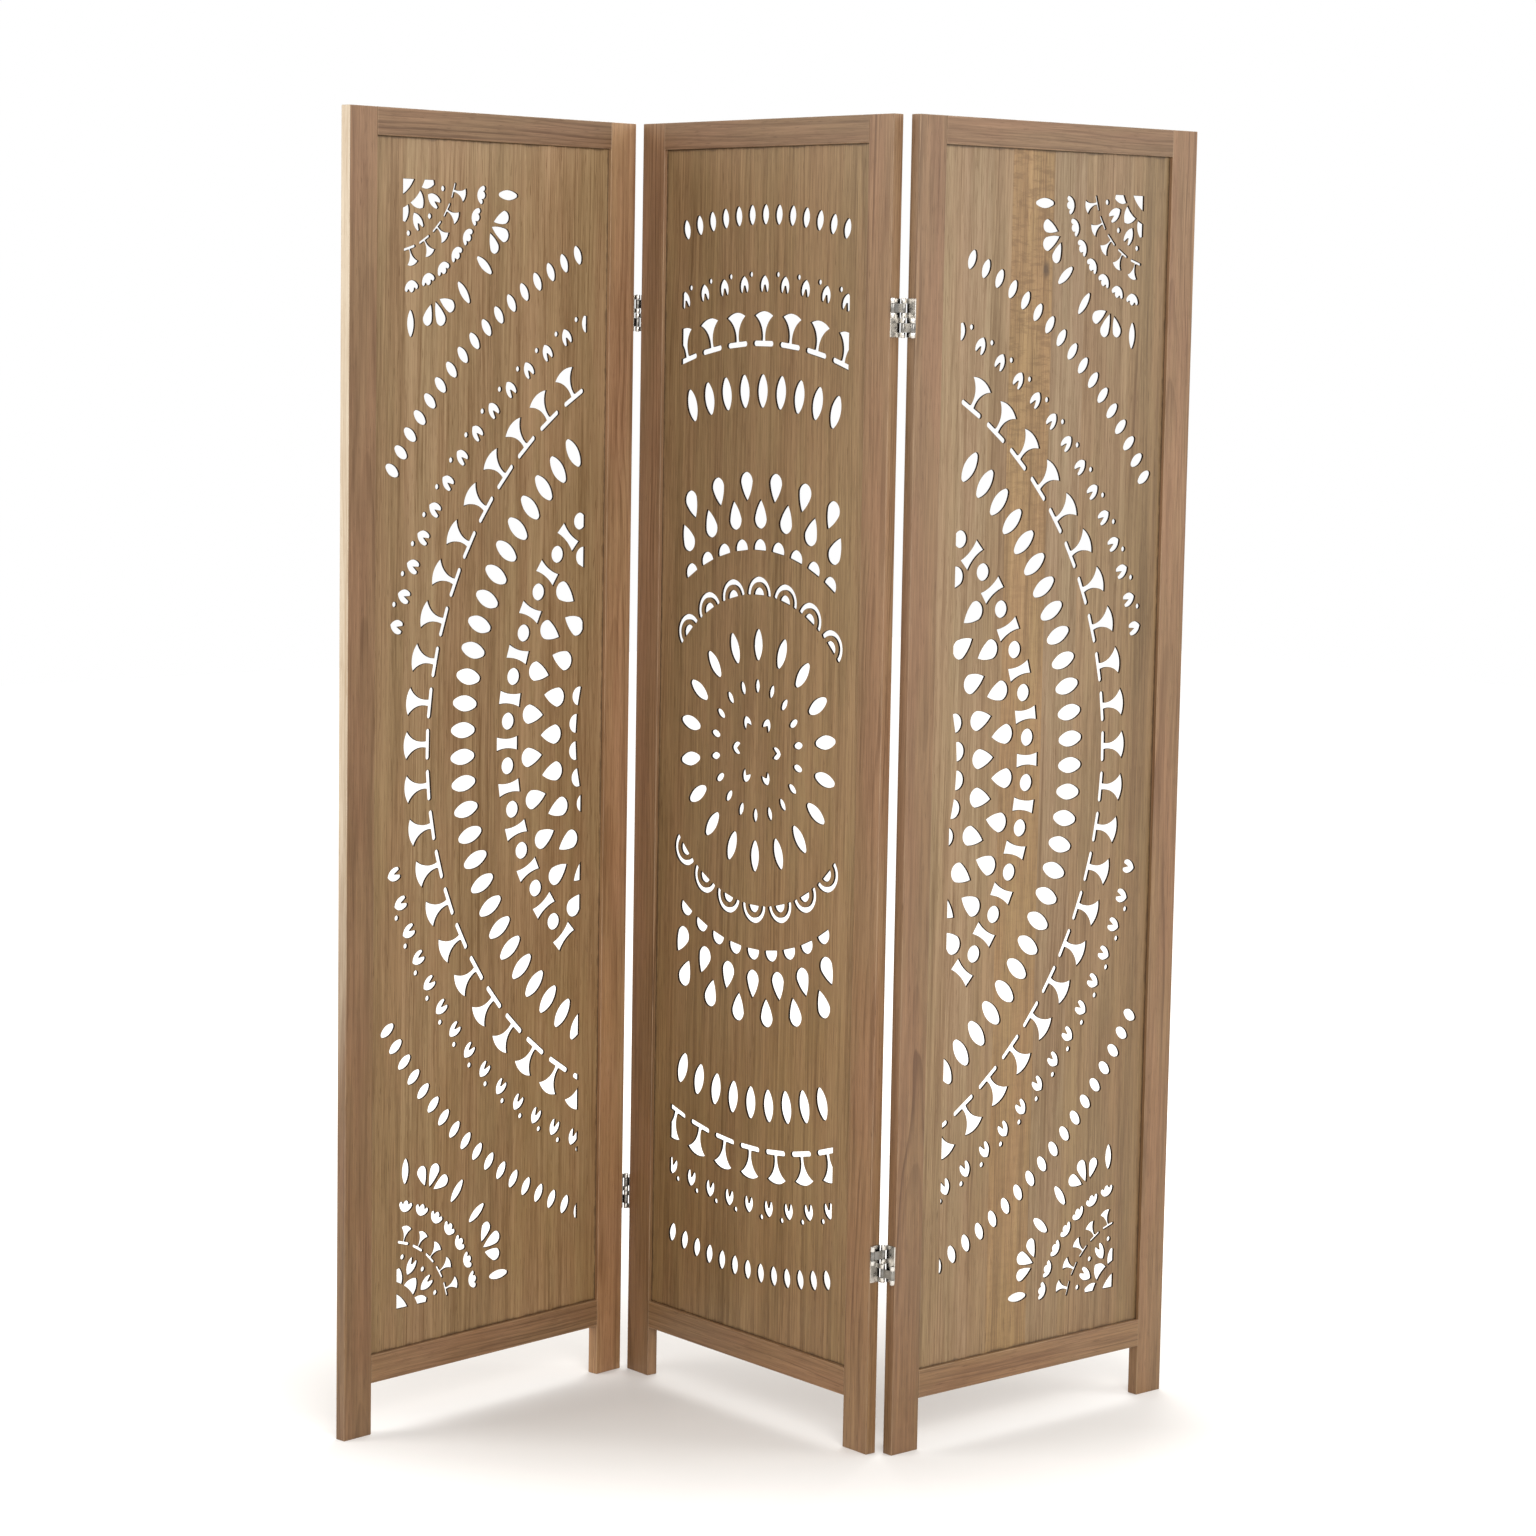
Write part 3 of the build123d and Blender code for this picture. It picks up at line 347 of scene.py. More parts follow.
def bare_and_lit_edge(tree, own, colour, half_size, side, middle_height, dark):
    """The outer edge, paler towards the top: partly wood that the stain hardly took, partly a painted
    highlight.
    """
    position = axes_of(tree, own)
    outwards = reckon(tree, "MULTIPLY", position["X"], float(side))
    at_edge = between(tree, outwards, half_size[0] - BARE_LIT_EDGE_DEPTH, half_size[0] - BARE_LIT_EDGE_DEPTH / 3)
    height = reckon(tree, "ADD", position["Z"], middle_height)
    patchy = mottle(tree, own, (40.0, 40.0, 2.5), 3.0, 0.6).outputs[0]
    broken = reckon(tree, "MULTIPLY_ADD", patchy, BARE_LIT_EDGE_RAGGED, height)
    lifted = BARE_LIT_EDGE_RAGGED / 2
    upper = between(tree, broken, BARE_LIT_EDGE_LOW + lifted, BARE_LIT_EDGE_HIGH + lifted)
    mask = reckon(tree, "MULTIPLY", at_edge, upper)
    bare_lit = blend_colours(tree, dark, opaque(BARE_LIT_EDGE), opaque(WORN_ARRIS))
    return blend_colours(tree, mask, colour, bare_lit)


def half_size_of(node):
    """Half a piece's size along its own axes, taken from one that stands square to the frame."""
    low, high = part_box(node)
    return (high - low) / 2


stile_half = half_size_of("middle_left_stile")
bar_number = 0
for panel, stiles in PANEL_STILES.items():
    for stile in stiles:
        bar_number += 1
        place = f"{panel}_{stile}"
        material = bar_material(
            panel, f"{stile} stile", bar_number, stile_half, pith_beside(bar_number, *STILE_PITH),
            STILE_TONES[place], bare_lit_side=-1 if place == "left_outer" else 0,
        )
        nodes[f"{place}_stile"].material_slots[0].material = material


# ======================================================================== rails
# Top and bottom rails: the same paulownia with its grain lying across, sawn square, butted between
# the stiles and held by two dowels at each end. The bottom rails took the stain darker and greener.

RAIL_TONES = {"top_rail": 0.77, "bottom_rail": 0.92}
RAIL_PITH = ((0.045, 0.01, 3), (0.020, 0.008, 4))

for panel in PANEL_STILES:
    for rail, tone in RAIL_TONES.items():
        bar_number += 1
        material = bar_material(
            panel, rail, bar_number, half_size_of(f"middle_{rail}"),
            pith_beside(bar_number, *RAIL_PITH), tone, lying=True,
        )
        nodes[f"{panel}_{rail}"].material_slots[0].material = material


# ======================================================================== carved boards
# The thin boards: strips of paulownia glued edge to edge, sanded to 3 mm, cut right through by a
# laser in a rosette pattern and slid into the grooves of the frame before it is closed. The beam
# leaves the cut walls scorched brown.

CUT_SAG = 0.00004                # how far a chord may lie inside its arc
CUT_EASE = 0.0002                # sanded arris at each cut
CUT_WALL_FACING = 0.9            # a face that looks less than this along the board's thickness is a wall
RIM_TOLERANCE = 0.001
CREASE_ANGLE = 30.0
SCORCHED = (0.034, 0.017, 0.009)
SCORCHED_DEEP = (0.012, 0.007, 0.005)
BOARD_PALE = (0.362, 0.228, 0.108)
BOARD_DARK = (0.150, 0.080, 0.031)
# a greyer stain, which on the side boards also paints in part of their sheen
BOARD_GREY_AND_SHEEN = (0.335, 0.250, 0.168)
BOARD_RING_WIDTH = 0.0052
# each glued strip's left edge across the board, its tone, and how grey the stain dried on it.
# The left board's tones are raised as painted light, where the lamps leave it in shade, and on the
# two side boards the grey also paints in part of their sheen.
STRIPS = {
    "left": (
        (-0.250, 0.98, 0.40), (-0.155, 1.14, 0.70), (-0.098, 1.14, 0.60), (-0.018, 1.05, 0.50),
        (0.014, 1.13, 0.55), (0.046, 1.23, 0.60), (0.094, 1.20, 0.50), (0.146, 1.18, 0.45),
    ),
    "middle": (
        (-0.250, 0.95, 0.15), (-0.142, 0.91, 0.10), (-0.098, 0.95, 0.20), (-0.034, 0.99, 0.25),
        (0.022, 0.95, 0.10), (0.054, 0.99, 0.20), (0.108, 0.96, 0.15), (0.152, 0.98, 0.25),
    ),
    "right": (
        (-0.250, 1.00, 0.75), (-0.168, 1.06, 0.95), (-0.118, 0.96, 0.60), (-0.084, 1.02, 0.10),
        (-0.008, 0.97, 0.95), (0.048, 0.94, 0.55), (0.090, 0.90, 0.55), (0.134, 0.88, 0.30),
        (0.160, 0.76, 0.10),
    ),
}
# steps that spread the strips over their logs and over the two sides of the pith, each from 0 to 1
STRIP_LOG_STEP = 0.37
STRIP_SIDE_STEP = 0.618
STRIP_FIRST_SIDE = 0.3
STRIP_LOG = 30.0                 # length of log that one board's strips come from
BOARDS_APART = 3.1               # along the log, from one board's wood to the next one's
RAMP_MIDDLE = 0.5                # where a board's middle lies on a colour ramp one metre long
GOLDEN_STRIP = (-0.084, -0.008)  # the curly strip in the right board
GOLDEN_EDGE = 0.002
GOLDEN_RISE = (1.00, 1.45)       # the golden colour comes in between these heights
GOLDEN = (1.03, 0.99, 0.84)
KNOT = (-0.020, 0.0, 1.515)
KNOT_SIZE = (0.006, 0.014)       # its dark heart, and where it ends

# where the pattern lies
WINDOW_MARGIN = 0.036            # stile to the edge that cuts the rings short
SIDE_MARGIN = 0.014              # the same at a side panel's outer stile
SIDE_CENTRE_REACH = 0.170        # a side panel's rings centre this far beyond its inner edge
CORNER_SIDE_MARGIN = 0.047       # outer stile to the corner of a rosette's window
CORNER_RAIL_MARGIN = 0.052       # the same from the rail
ROSETTE_OUTSET = 0.021           # rosette centre to its window's corner, across and up

stile_low, stile_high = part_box("middle_left_stile")
board_low, board_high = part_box("middle_carved_board")
board_half = (board_high.x - board_low.x) / 2
panel_middle = middle_of("middle_top_rail")
edge_x = panel_middle.x - stile_low.x
opening_half = panel_middle.x - stile_high.x
rail_top_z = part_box("middle_bottom_rail")[1].z
rail_under_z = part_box("middle_top_rail")[0].z
middle_z = (rail_top_z + rail_under_z) / 2


def mirrored(point):
    """The point across the outline's upright axis. A point is a complex number, across + 1j * up."""
    return -point.conjugate()


def bow(start, through, end):
    """Points of the arc from start through another point to the end, which is left off."""
    ratio = (end - start) / (through - start)
    centre = start + (through - start) * (ratio - abs(ratio) ** 2) / (2j * ratio.imag)
    radius = abs(start - centre)
    sweep = phase((end - centre) / (start - centre)) % (2 * pi)
    if phase((through - centre) / (start - centre)) % (2 * pi) > sweep:
        sweep -= 2 * pi
    steps = ceil(abs(sweep) / (2 * acos(1 - CUT_SAG / radius)))
    return [centre + (start - centre) * rect(1, sweep * step / steps) for step in range(steps)]


def leaf(length, width):
    """Two bowed sides that run into a blunt round tip at each end."""
    tip = length / 2 * 1j
    side = width / 2
    shoulder = side * 0.39 + tip * 0.91
    return (bow(-shoulder, -tip, shoulder.conjugate()) + bow(shoulder.conjugate(), side, shoulder)
            + bow(shoulder, tip, mirrored(shoulder)) + bow(mirrored(shoulder), -side, -shoulder))


def drop(length, width):
    """A round head with bowed sides that meet in a point at the inner end."""
    tip = length / 2
    head = width / 2
    shoulder = complex(head, tip - head)
    bulge = complex(head * 0.67, -head / 2)
    return (bow(-tip * 1j, bulge, shoulder) + bow(shoulder, tip * 1j, mirrored(shoulder))
            + bow(mirrored(shoulder), mirrored(bulge), -tip * 1j))


def dome(length, width):
    """A half-round with its flat side inwards."""
    foot = complex(width / 2, -length / 2)
    return [mirrored(foot)] + bow(foot, length / 2 * 1j, mirrored(foot))


def arch(radius, band):
    """A half-ring with rounded ends, round a middle on its base line."""
    inner = radius - band
    middle = radius - band / 2
    foot = -band * 0.15j
    return (bow(radius, radius * 1j, -radius) + bow(-radius, -middle + foot, -inner)
            + bow(-inner, inner * 1j, inner) + bow(inner, middle + foot, radius))


def heart(length, width, notch, mouth=0.38):
    """A pointed leaf with a notch cut into its inner end, its mouth a share of the leaf's width."""
    tip = length / 2
    side = width / 2
    lip = complex(side * mouth, -tip)
    shoulder = complex(side * (0.56 + 0.42 * mouth), -tip * 0.97)
    corner = complex(side * (0.79 + 0.21 * mouth), -tip * 0.82)
    bulge = complex(side * 0.99, -tip * 0.1)
    return ([(notch - tip) * 1j] + bow(lip, shoulder, corner) + bow(corner, bulge, tip * 1j)
            + bow(tip * 1j, mirrored(bulge), mirrored(corner))
            + bow(mirrored(corner), mirrored(shoulder), mirrored(lip)) + [mirrored(lip)])


def spool(length, width, waist):
    """A bar with flared ends."""
    corner = complex(width / 2, -length / 2)
    return ([mirrored(corner)] + bow(corner, waist / 2, corner.conjugate())
            + [corner.conjugate()] + bow(-corner, -waist / 2, mirrored(corner)))


def bell(length, width, stem, bar):
    """A flared fan on a stem, with a round-ended bar across the stem's foot."""
    top = length / 2
    side = width / 2
    foot = bar - top
    bar_low = complex(side - bar / 2, -top)
    bar_end = complex(side, bar / 2 - top)
    bar_high = complex(side - bar / 2, foot)
    stem_foot = complex(stem / 2, foot)
    neck = complex(side * 0.36, foot + length * 0.44)
    flare = complex(side * 0.94, top - length * 0.13)
    return (bow(bar_low, bar_end, bar_high) + [bar_high] + bow(stem_foot, neck, flare)
            + bow(flare, top * 1j, mirrored(flare))
            + bow(mirrored(flare), mirrored(neck), mirrored(stem_foot)) + [mirrored(stem_foot)]
            + bow(mirrored(bar_high), mirrored(bar_end), mirrored(bar_low)) + [mirrored(bar_low)])


def scallop(length, width):
    """Smooth on the inner side, three lobes on the outer."""
    top = length / 2
    side = width / 2
    shoulder = complex(side, -top * 0.04)
    notch = complex(side * 0.45, top * 0.34)
    lobe = complex(side * 0.83, top * 0.68)
    return (bow(mirrored(shoulder), -top * 1j, shoulder) + bow(shoulder, lobe, notch)
            + bow(notch, top * 1j, mirrored(notch))
            + bow(mirrored(notch), mirrored(lobe), mirrored(shoulder)))


def wedge(length, width):
    """A petal with a nearly flat inner end and bowed sides that meet in an outer point."""
    top = length / 2
    corner = complex(width / 2, -top)
    bulge = complex(width * 0.36, top * 0.25)
    return (bow(mirrored(corner), -top * 0.85j, corner) + bow(corner, bulge, top * 1j)
            + bow(top * 1j, mirrored(bulge), mirrored(corner)))


def disc(diameter):
    radius = diameter / 2
    return bow(radius, radius * 1j, -radius) + bow(-radius, -radius * 1j, radius)


def turned(outline, angle, shift=0):
    """An outline turned by an angle in degrees and then moved."""
    return [point * rect(1, radians(angle)) + shift for point in outline]


def one_side(outline, inside, along):
    """The parts of an outline where inside() is above 0, closed along the straight cut.

    along() gives a point's place on the cut. Each run of points between two crossings is a chain,
    and neighbouring crossings on the cut are joined in pairs.
    """
    depths = [inside(point) for point in outline]
    if min(depths) >= 0:
        return [outline]
    if max(depths) <= 0:
        return []
    count = len(outline)
    first = next(i for i in range(count) if depths[i] <= 0 < depths[(i + 1) % count])
    chains = []
    for step in range(count):
        here = (first + step) % count
        there = (here + 1) % count
        before, after = depths[here], depths[there]
        if (before > 0) != (after > 0):
            crossing = outline[here] + (outline[there] - outline[here]) * before / (before - after)
            if after > 0:
                chains.append([crossing])
            else:
                chains[-1].append(crossing)
        if after > 0:
            chains[-1].append(outline[there])
    ends = [(along(chain[0]), number, "start") for number, chain in enumerate(chains)]
    ends += [(along(chain[-1]), number, "end") for number, chain in enumerate(chains)]
    ends.sort()
    following = {}
    for one, other in zip(ends[::2], ends[1::2]):
        start, end = (one, other) if one[2] == "start" else (other, one)
        following[end[1]] = start[1]
    parts = []
    while following:
        number, next_number = following.popitem()
        part = list(chains[number])
        while next_number != number:
            part += chains[next_number]
            next_number = following.pop(next_number)
        parts.append(part)
    return parts


def trimmed(outline, window):
    """The parts of an outline inside a window (x low, x high, y low, y high)."""
    low_x, high_x, low_y, high_y = window
    cuts = (
        (lambda point: point.real - low_x, lambda point: point.imag),
        (lambda point: high_x - point.real, lambda point: point.imag),
        (lambda point: point.imag - low_y, lambda point: point.real),
        (lambda point: high_y - point.imag, lambda point: point.real),
    )
    parts = [outline]
    for inside, along in cuts:
        parts = [piece for part in parts for piece in one_side(part, inside, along)]
    return parts


def rings(window, centre, start, table, way=1):
    """Rings round one centre, each a (radius, motif), its pitch and its places in pitches from start.

    way is 1 for places counted anticlockwise and -1 for places counted clockwise.
    """
    outlines = []
    for (radius, motif), pitch, places in table:
        for place in places:
            angle = start + way * place * pitch
            copy = turned(motif, angle - 90, centre + rect(radius, radians(angle)))
            outlines += trimmed(copy, window)
    return outlines


def row(low, high, lift=0.0):
    """Places a whole pitch apart from low to high, all moved on by lift."""
    return [low + lift + step for step in range(round(high - low) + 1)]


DOT = disc(0.0072)

# the rings that the middle panel shares with the side panels, each a radius and its motif
DOMES = (0.2695, dome(0.0145, 0.025))
OUTWARD_DROPS = (0.3095, turned(drop(0.0385, 0.026), 180))
INWARD_DROPS = (0.3445, drop(0.0385, 0.026))
LONG_LEAVES = (0.468, leaf(0.0435, 0.021))
LARGE_BELLS = (0.548, bell(0.045, 0.0405, 0.008, 0.007))
HEARTS = (0.606, heart(0.022, 0.0182, 0.0095))
DOTS = (0.618, DOT)
RIM_LEAVES = (0.694, leaf(0.026, 0.0143))
# pitches in degrees, the same on every panel
DOME_PITCH = 8.0
RIM_LEAF_PITCH = 2.23


def middle_pattern():
    """The whole flower in the middle panel, cut short by the window at both sides."""
    centre = middle_z * 1j
    reach = opening_half - WINDOW_MARGIN
    window = (-reach, reach, rail_top_z, rail_under_z)
    outlines = rings(window, centre, 90.0, (
        ((0.0415, heart(0.0162, 0.0162, 0.0063, 0.72)), 60, row(0.5, 5.5)),
        ((0.085, leaf(0.0183, 0.0096)), 20, range(18)),
        ((0.139, leaf(0.0415, 0.0183)), 20, range(18)),
    ))
    arch_pitch = 14.9
    drop_pitch = 9.68
    heart_pitch = 3.88
    dots = row(0.64, 3.64)
    for start in (90.0, -90.0):
        outlines += rings(window, centre, start, (
            ((0.204, arch(0.0238, 0.007)), arch_pitch, row(-3, 3)),
            ((0.2089, dome(0.0098, 0.0205)), arch_pitch, row(-3, 3)),
            (DOMES, DOME_PITCH, row(-4, 4)),
            (OUTWARD_DROPS, drop_pitch, row(-3, 3)),
            (INWARD_DROPS, drop_pitch, row(-2.5, 2.5)),
            (LONG_LEAVES, 4.49, row(-4, 4)),
            (LARGE_BELLS, 5.71, row(-3, 3)),
            (HEARTS, heart_pitch, row(-4, 4)),
            (DOTS, heart_pitch, dots + [-place for place in dots]),
            (RIM_LEAVES, RIM_LEAF_PITCH, row(-6, 6)),
        ))
    return outlines


def corner_rosette(corner, turn_x, turn_y):
    """A quarter rosette from a corner towards the board's middle, which lies that way across and up."""
    beyond = 2.0                 # past everything, so that only the corner's two sides cut the rosette
    low_x, high_x = sorted((corner.real, corner.real + turn_x * beyond))
    low_y, high_y = sorted((corner.imag, corner.imag + turn_y * beyond))
    window = (low_x, high_x, low_y, high_y)
    centre = corner - ROSETTE_OUTSET * complex(turn_x, turn_y)
    start = atan2(turn_y, turn_x) * 180 / pi
    hub = disc(0.092)
    outlines = trimmed(turned(hub, 0, centre), window)
    outer_leaf = leaf(0.034, 0.0128)
    outer_radius = 0.205
    bell_pitch = 14.0
    side_petal = drop(0.029, 0.017)
    petals = [drop(0.0335, 0.018)]
    petals += [turned(side_petal, -sign * 42, complex(sign * 0.0171, -0.0055)) for sign in (-1, 1)]
    wedge_pitch = 25.7
    return outlines + rings(window, centre, start, (
        ((0.0695, wedge(0.020, 0.0235)), wedge_pitch, row(-1, 1)),
        ((0.086, turned(heart(0.0235, 0.0165, 0.008), 180)), wedge_pitch, row(-0.5, 0.5)),
        ((0.094, DOT), wedge_pitch, row(-1, 1)),
        ((0.1225, bell(0.0245, 0.0205, 0.0032, 0.0034)), bell_pitch, row(-2, 2)),
        ((0.1595, scallop(0.0155, 0.023)), 10.6, row(-3, 3)),
        ((outer_radius, outer_leaf), bell_pitch, (-0.5, 0.5)),
        *[((outer_radius, turned(outer_leaf, sign * 9)), bell_pitch, [sign * 2.5]) for sign in (-1, 1)],
        *[((0.20625, petal), bell_pitch, (-1.5, 1.5)) for petal in petals],
    ))


def side_pattern(out):
    """A side panel's share of the rings and its two corner rosettes. out is the outer stile's side."""
    centre = complex(-out * (edge_x + SIDE_CENTRE_REACH), middle_z)
    inner = -out * (opening_half - WINDOW_MARGIN)
    outer = out * (opening_half - SIDE_MARGIN)
    window = (min(inner, outer), max(inner, outer), rail_top_z, rail_under_z)
    start = 0.0 if out > 0 else 180.0
    drop_pitch = 9.4
    spool_radius = 0.389
    spool_pitch = 8.72
    heart_pitch = 3.82
    outlines = rings(window, centre, start, (
        (DOMES, DOME_PITCH, row(-2.5, 1.5)),
        (OUTWARD_DROPS, drop_pitch, row(-4, 3, 0.13)),
        (INWARD_DROPS, drop_pitch, row(-4.5, 4.5, 0.13)),
        ((spool_radius, spool(0.038, 0.019, 0.0125)), spool_pitch, row(-5, 5)),
        ((spool_radius, disc(0.0226)), spool_pitch, row(-4.5, 5.5)),
        (LONG_LEAVES, 4.28, row(-13.5, 12.5, 0.16)),
        (LARGE_BELLS, 5.78, row(-11, 10, 0.17)),
        (HEARTS, heart_pitch, row(-17, -4, 0.1) + row(4, 17, 0.1)),
        (DOTS, heart_pitch, row(-17, -5, -0.26) + row(5, 17, -0.26)),
        (RIM_LEAVES, RIM_LEAF_PITCH, row(-31, -14, 0.1) + row(14, 30, 0.1)),
    ), way=out)
    corner_x = out * (opening_half - CORNER_SIDE_MARGIN)
    outlines += corner_rosette(complex(corner_x, rail_top_z + CORNER_RAIL_MARGIN), -out, 1)
    outlines += corner_rosette(complex(corner_x, rail_under_z - CORNER_RAIL_MARGIN), -out, -1)
    return outlines


def strip_ramp(tree, across, panel):
    """Half a strip's tone, its greyness, which in part is painted sheen, and two chances, each constant
    over the strip.
    """
    ramp = add(tree, "ValToRGB", {0: reckon(tree, "ADD", across, RAMP_MIDDLE)})
    ramp.color_ramp.interpolation = "CONSTANT"
    stops = ramp.color_ramp.elements
    for number, (start, tone, grey_and_sheen) in enumerate(STRIPS[panel]):
        chance = number * STRIP_LOG_STEP % 1.0
        side = (STRIP_FIRST_SIDE + number * STRIP_SIDE_STEP) % 1.0
        stop = stops[number] if number < 2 else stops.new(start + RAMP_MIDDLE)
        stop.position = start + RAMP_MIDDLE
        stop.color = (tone / 2, grey_and_sheen, chance, side)
    parts = add(tree, "SeparateColor", {0: ramp.outputs["Color"]}).outputs
    return parts[0], parts[1], parts[2], ramp.outputs["Alpha"]


def board_material(panel, number):
    """Glued strips of stained paulownia, each with its own figure and tone."""
    material, tree = new_material(f"stained {panel} board")
    own = object_point(tree)
    position = axes_of(tree, own)
    waver = reckon(tree, "MULTIPLY_ADD", mottle(tree, own, (2.0, 2.0, 3.0)).outputs[0], 0.004, -0.002)
    half_tone, grey_and_sheen, chance, side = strip_ramp(tree, reckon(tree, "ADD", position["X"], waver), panel)
    along_log = reckon(tree, "MULTIPLY_ADD", chance, STRIP_LOG, number * BOARDS_APART)
    sawn = reckon_vector(tree, "ADD", own, add(tree, "CombineXYZ", {2: along_log}).outputs[0])
    pith_x = reckon(tree, "MULTIPLY_ADD", side, 0.60, -0.30)
    pith_y = reckon(tree, "MULTIPLY_ADD", chance, 0.06, 0.02)
    pith = add(tree, "CombineXYZ", {0: pith_x, 1: pith_y}).outputs[0]
    grain = place_effect(tree, wood_grain, {
        "Vector": sawn, "Pith": pith, "Ring Width": BOARD_RING_WIDTH, "Wander": 0.04,
        "Ring Share": 0.42,
    })
    faded = reckon(tree, "MULTIPLY", grey_and_sheen, 0.6)
    pale = blend_colours(tree, faded, opaque(BOARD_PALE), opaque(BOARD_GREY_AND_SHEEN))
    colour = blend_colours(tree, grain["Dark"], pale, opaque(BOARD_DARK))
    # the strip's tone, raised on the left board as painted light
    tone = reckon(tree, "MULTIPLY", half_tone, 2.0)
    lifted = add(tree, "CombineXYZ", {0: tone, 1: tone, 2: tone}).outputs[0]
    colour = blend_colours(tree, 1.0, colour, lifted, "MULTIPLY")
    if panel == "right":
        colour = golden_figure(tree, own, position, colour)
    colour = place_effect(tree, stain_tone, {
        "Vector": own, "Color": colour, "Blotch": 0.5, "Low Darkening": 0.7, "Floor Height": position["Z"],
    })["Color"]
    finish_stained_wood(tree, corner_stain_and_shade(tree, own, position, colour), grain)
    return material


def golden_figure(tree, own, position, colour):
    """One strip took the stain golden: curly figure across its grain, and a small knot."""
    left, right = GOLDEN_STRIP
    from_left = between(tree, position["X"], left, left + GOLDEN_EDGE)
    to_right = between(tree, position["X"], right - GOLDEN_EDGE, right, 1.0, 0.0)
    inside = reckon(tree, "MULTIPLY", from_left, to_right)
    inside = reckon(tree, "MULTIPLY", inside, between(tree, position["Z"], *GOLDEN_RISE, 0.25, 1.0))
    gilding = reckon(tree, "MULTIPLY", inside, 0.5)
    gilded = blend_colours(tree, gilding, colour, opaque(GOLDEN), "MULTIPLY")
    curl = mottle(tree, own, (28.0, 28.0, 110.0), 4.0, 0.7).outputs[0]
    curled = reckon(tree, "MULTIPLY", between(tree, curl, 0.46, 0.62, 0.0, 0.50), inside)
    figured = blend_colours(tree, curled, gilded, opaque(BOARD_DARK))
    from_knot = reckon_vector(tree, "SUBTRACT", own, KNOT)
    squeezed = reckon_vector(tree, "MULTIPLY", from_knot, (1.0, 0.0, 0.6))
    ragged = reckon(tree, "MULTIPLY_ADD", curl, 0.010, length_of(tree, squeezed))
    knot = between(tree, ragged, *KNOT_SIZE, 0.7, 0.0)
    return blend_colours(tree, knot, figured, opaque(SCORCHED))


def corner_stain_and_shade(tree, own, position, colour):
    """The stain that ran into the corner between board and frame and dried dark, together with painted
    shade of that recess.
    """
    wide = reckon(tree, "SUBTRACT", opening_half, reckon(tree, "ABSOLUTE", position["X"]))
    low = reckon(tree, "SUBTRACT", position["Z"], rail_top_z)
    high = reckon(tree, "SUBTRACT", rail_under_z, position["Z"])
    nearest = reckon(tree, "MINIMUM", reckon(tree, "MINIMUM", wide, low), high)
    run = mottle(tree, own, (55.0, 55.0, 55.0), 3.0, 0.6).outputs[0]
    reach = reckon(tree, "MULTIPLY_ADD", run, 0.012, -0.0025)
    share = reckon(tree, "DIVIDE", nearest, reckon(tree, "MAXIMUM", reach, 0.0005))
    # darkens towards the scorched colour: pooled stain, and painted shade of the recess
    return blend_colours(tree, between(tree, share, 0.0, 1.0, 0.75, 0.0), colour, opaque(SCORCHED))


def scorch_material():
    material, tree = new_material("scorched cut")
    soot = mottle(tree, object_point(tree), (500.0, 500.0, 120.0), 3.0, 0.6).outputs[0]
    colour = blend_colours(tree, between(tree, soot, 0.35, 0.65), opaque(SCORCHED), opaque(SCORCHED_DEEP))
    bump = add(tree, "Bump", {"Height": soot, "Strength": 0.5, "Distance": 0.0001})
    shader = add(tree, "BsdfPrincipled", {
        "Base Color": colour, "Roughness": 0.85, "Normal": bump.outputs[0], "Specular IOR Level": 0.15,
    })
    close_material(tree, shader.outputs[0])
    return material


def cut_board(name, outlines):
    """The board's mesh in its panel's own frame: X across, Y through, Z up from the floor."""
    rim = [complex(-board_half, board_low.z), complex(board_half, board_low.z),
           complex(board_half, board_high.z), complex(-board_half, board_high.z)]
    drawing = bpy.data.curves.new(name + "_drawing", "CURVE")
    drawing.dimensions = "2D"
    drawing.fill_mode = "BOTH"
    drawing.extrude = (board_high.y - board_low.y) / 2 - CUT_EASE
    drawing.bevel_depth = CUT_EASE
    drawing.bevel_resolution = 0
    drawing.offset = -CUT_EASE
    for outline in [rim] + outlines:
        spline = drawing.splines.new("POLY")
        spline.points.add(len(outline) - 1)
        for point, place in zip(spline.points, outline):
            point.co = (place.real, place.imag, 0.0, 1.0)
        spline.use_cyclic_u = True
    pattern = bpy.data.objects.new(name + "_drawing", drawing)
    mesh = bpy.data.meshes.new_from_object(pattern)
    mesh.name = name
    bpy.data.objects.remove(pattern)
    bpy.data.curves.remove(drawing)
    middle_y = (board_low.y + board_high.y) / 2 - panel_middle.y
    mesh.transform(Matrix.Translation((0.0, middle_y, 0.0)) @ Matrix.Rotation(radians(90.0), 4, "X"))
    return mesh


def is_cut_wall(face):
    """Whether a face of a board's mesh stands round an opening, and not round the board's own rim."""
    off_sides = abs(face.center.x) <= board_half - CUT_EASE * 2
    off_ends = board_low.z + RIM_TOLERANCE < face.center.z < board_high.z - RIM_TOLERANCE
    return abs(face.normal.y) < CUT_WALL_FACING and off_sides and off_ends


def put_in_scene(name, content):
    made = bpy.data.objects.new(name, content)
    bpy.context.scene.collection.objects.link(made)
    return made


def panel_place(panel):
    """From a panel's own frame to the screen's."""
    foot = middle_of(f"{panel}_top_rail")
    foot.z = 0.0
    return Matrix.Translation(foot) @ Matrix.Rotation(panel_turn(panel), 4, "Z")


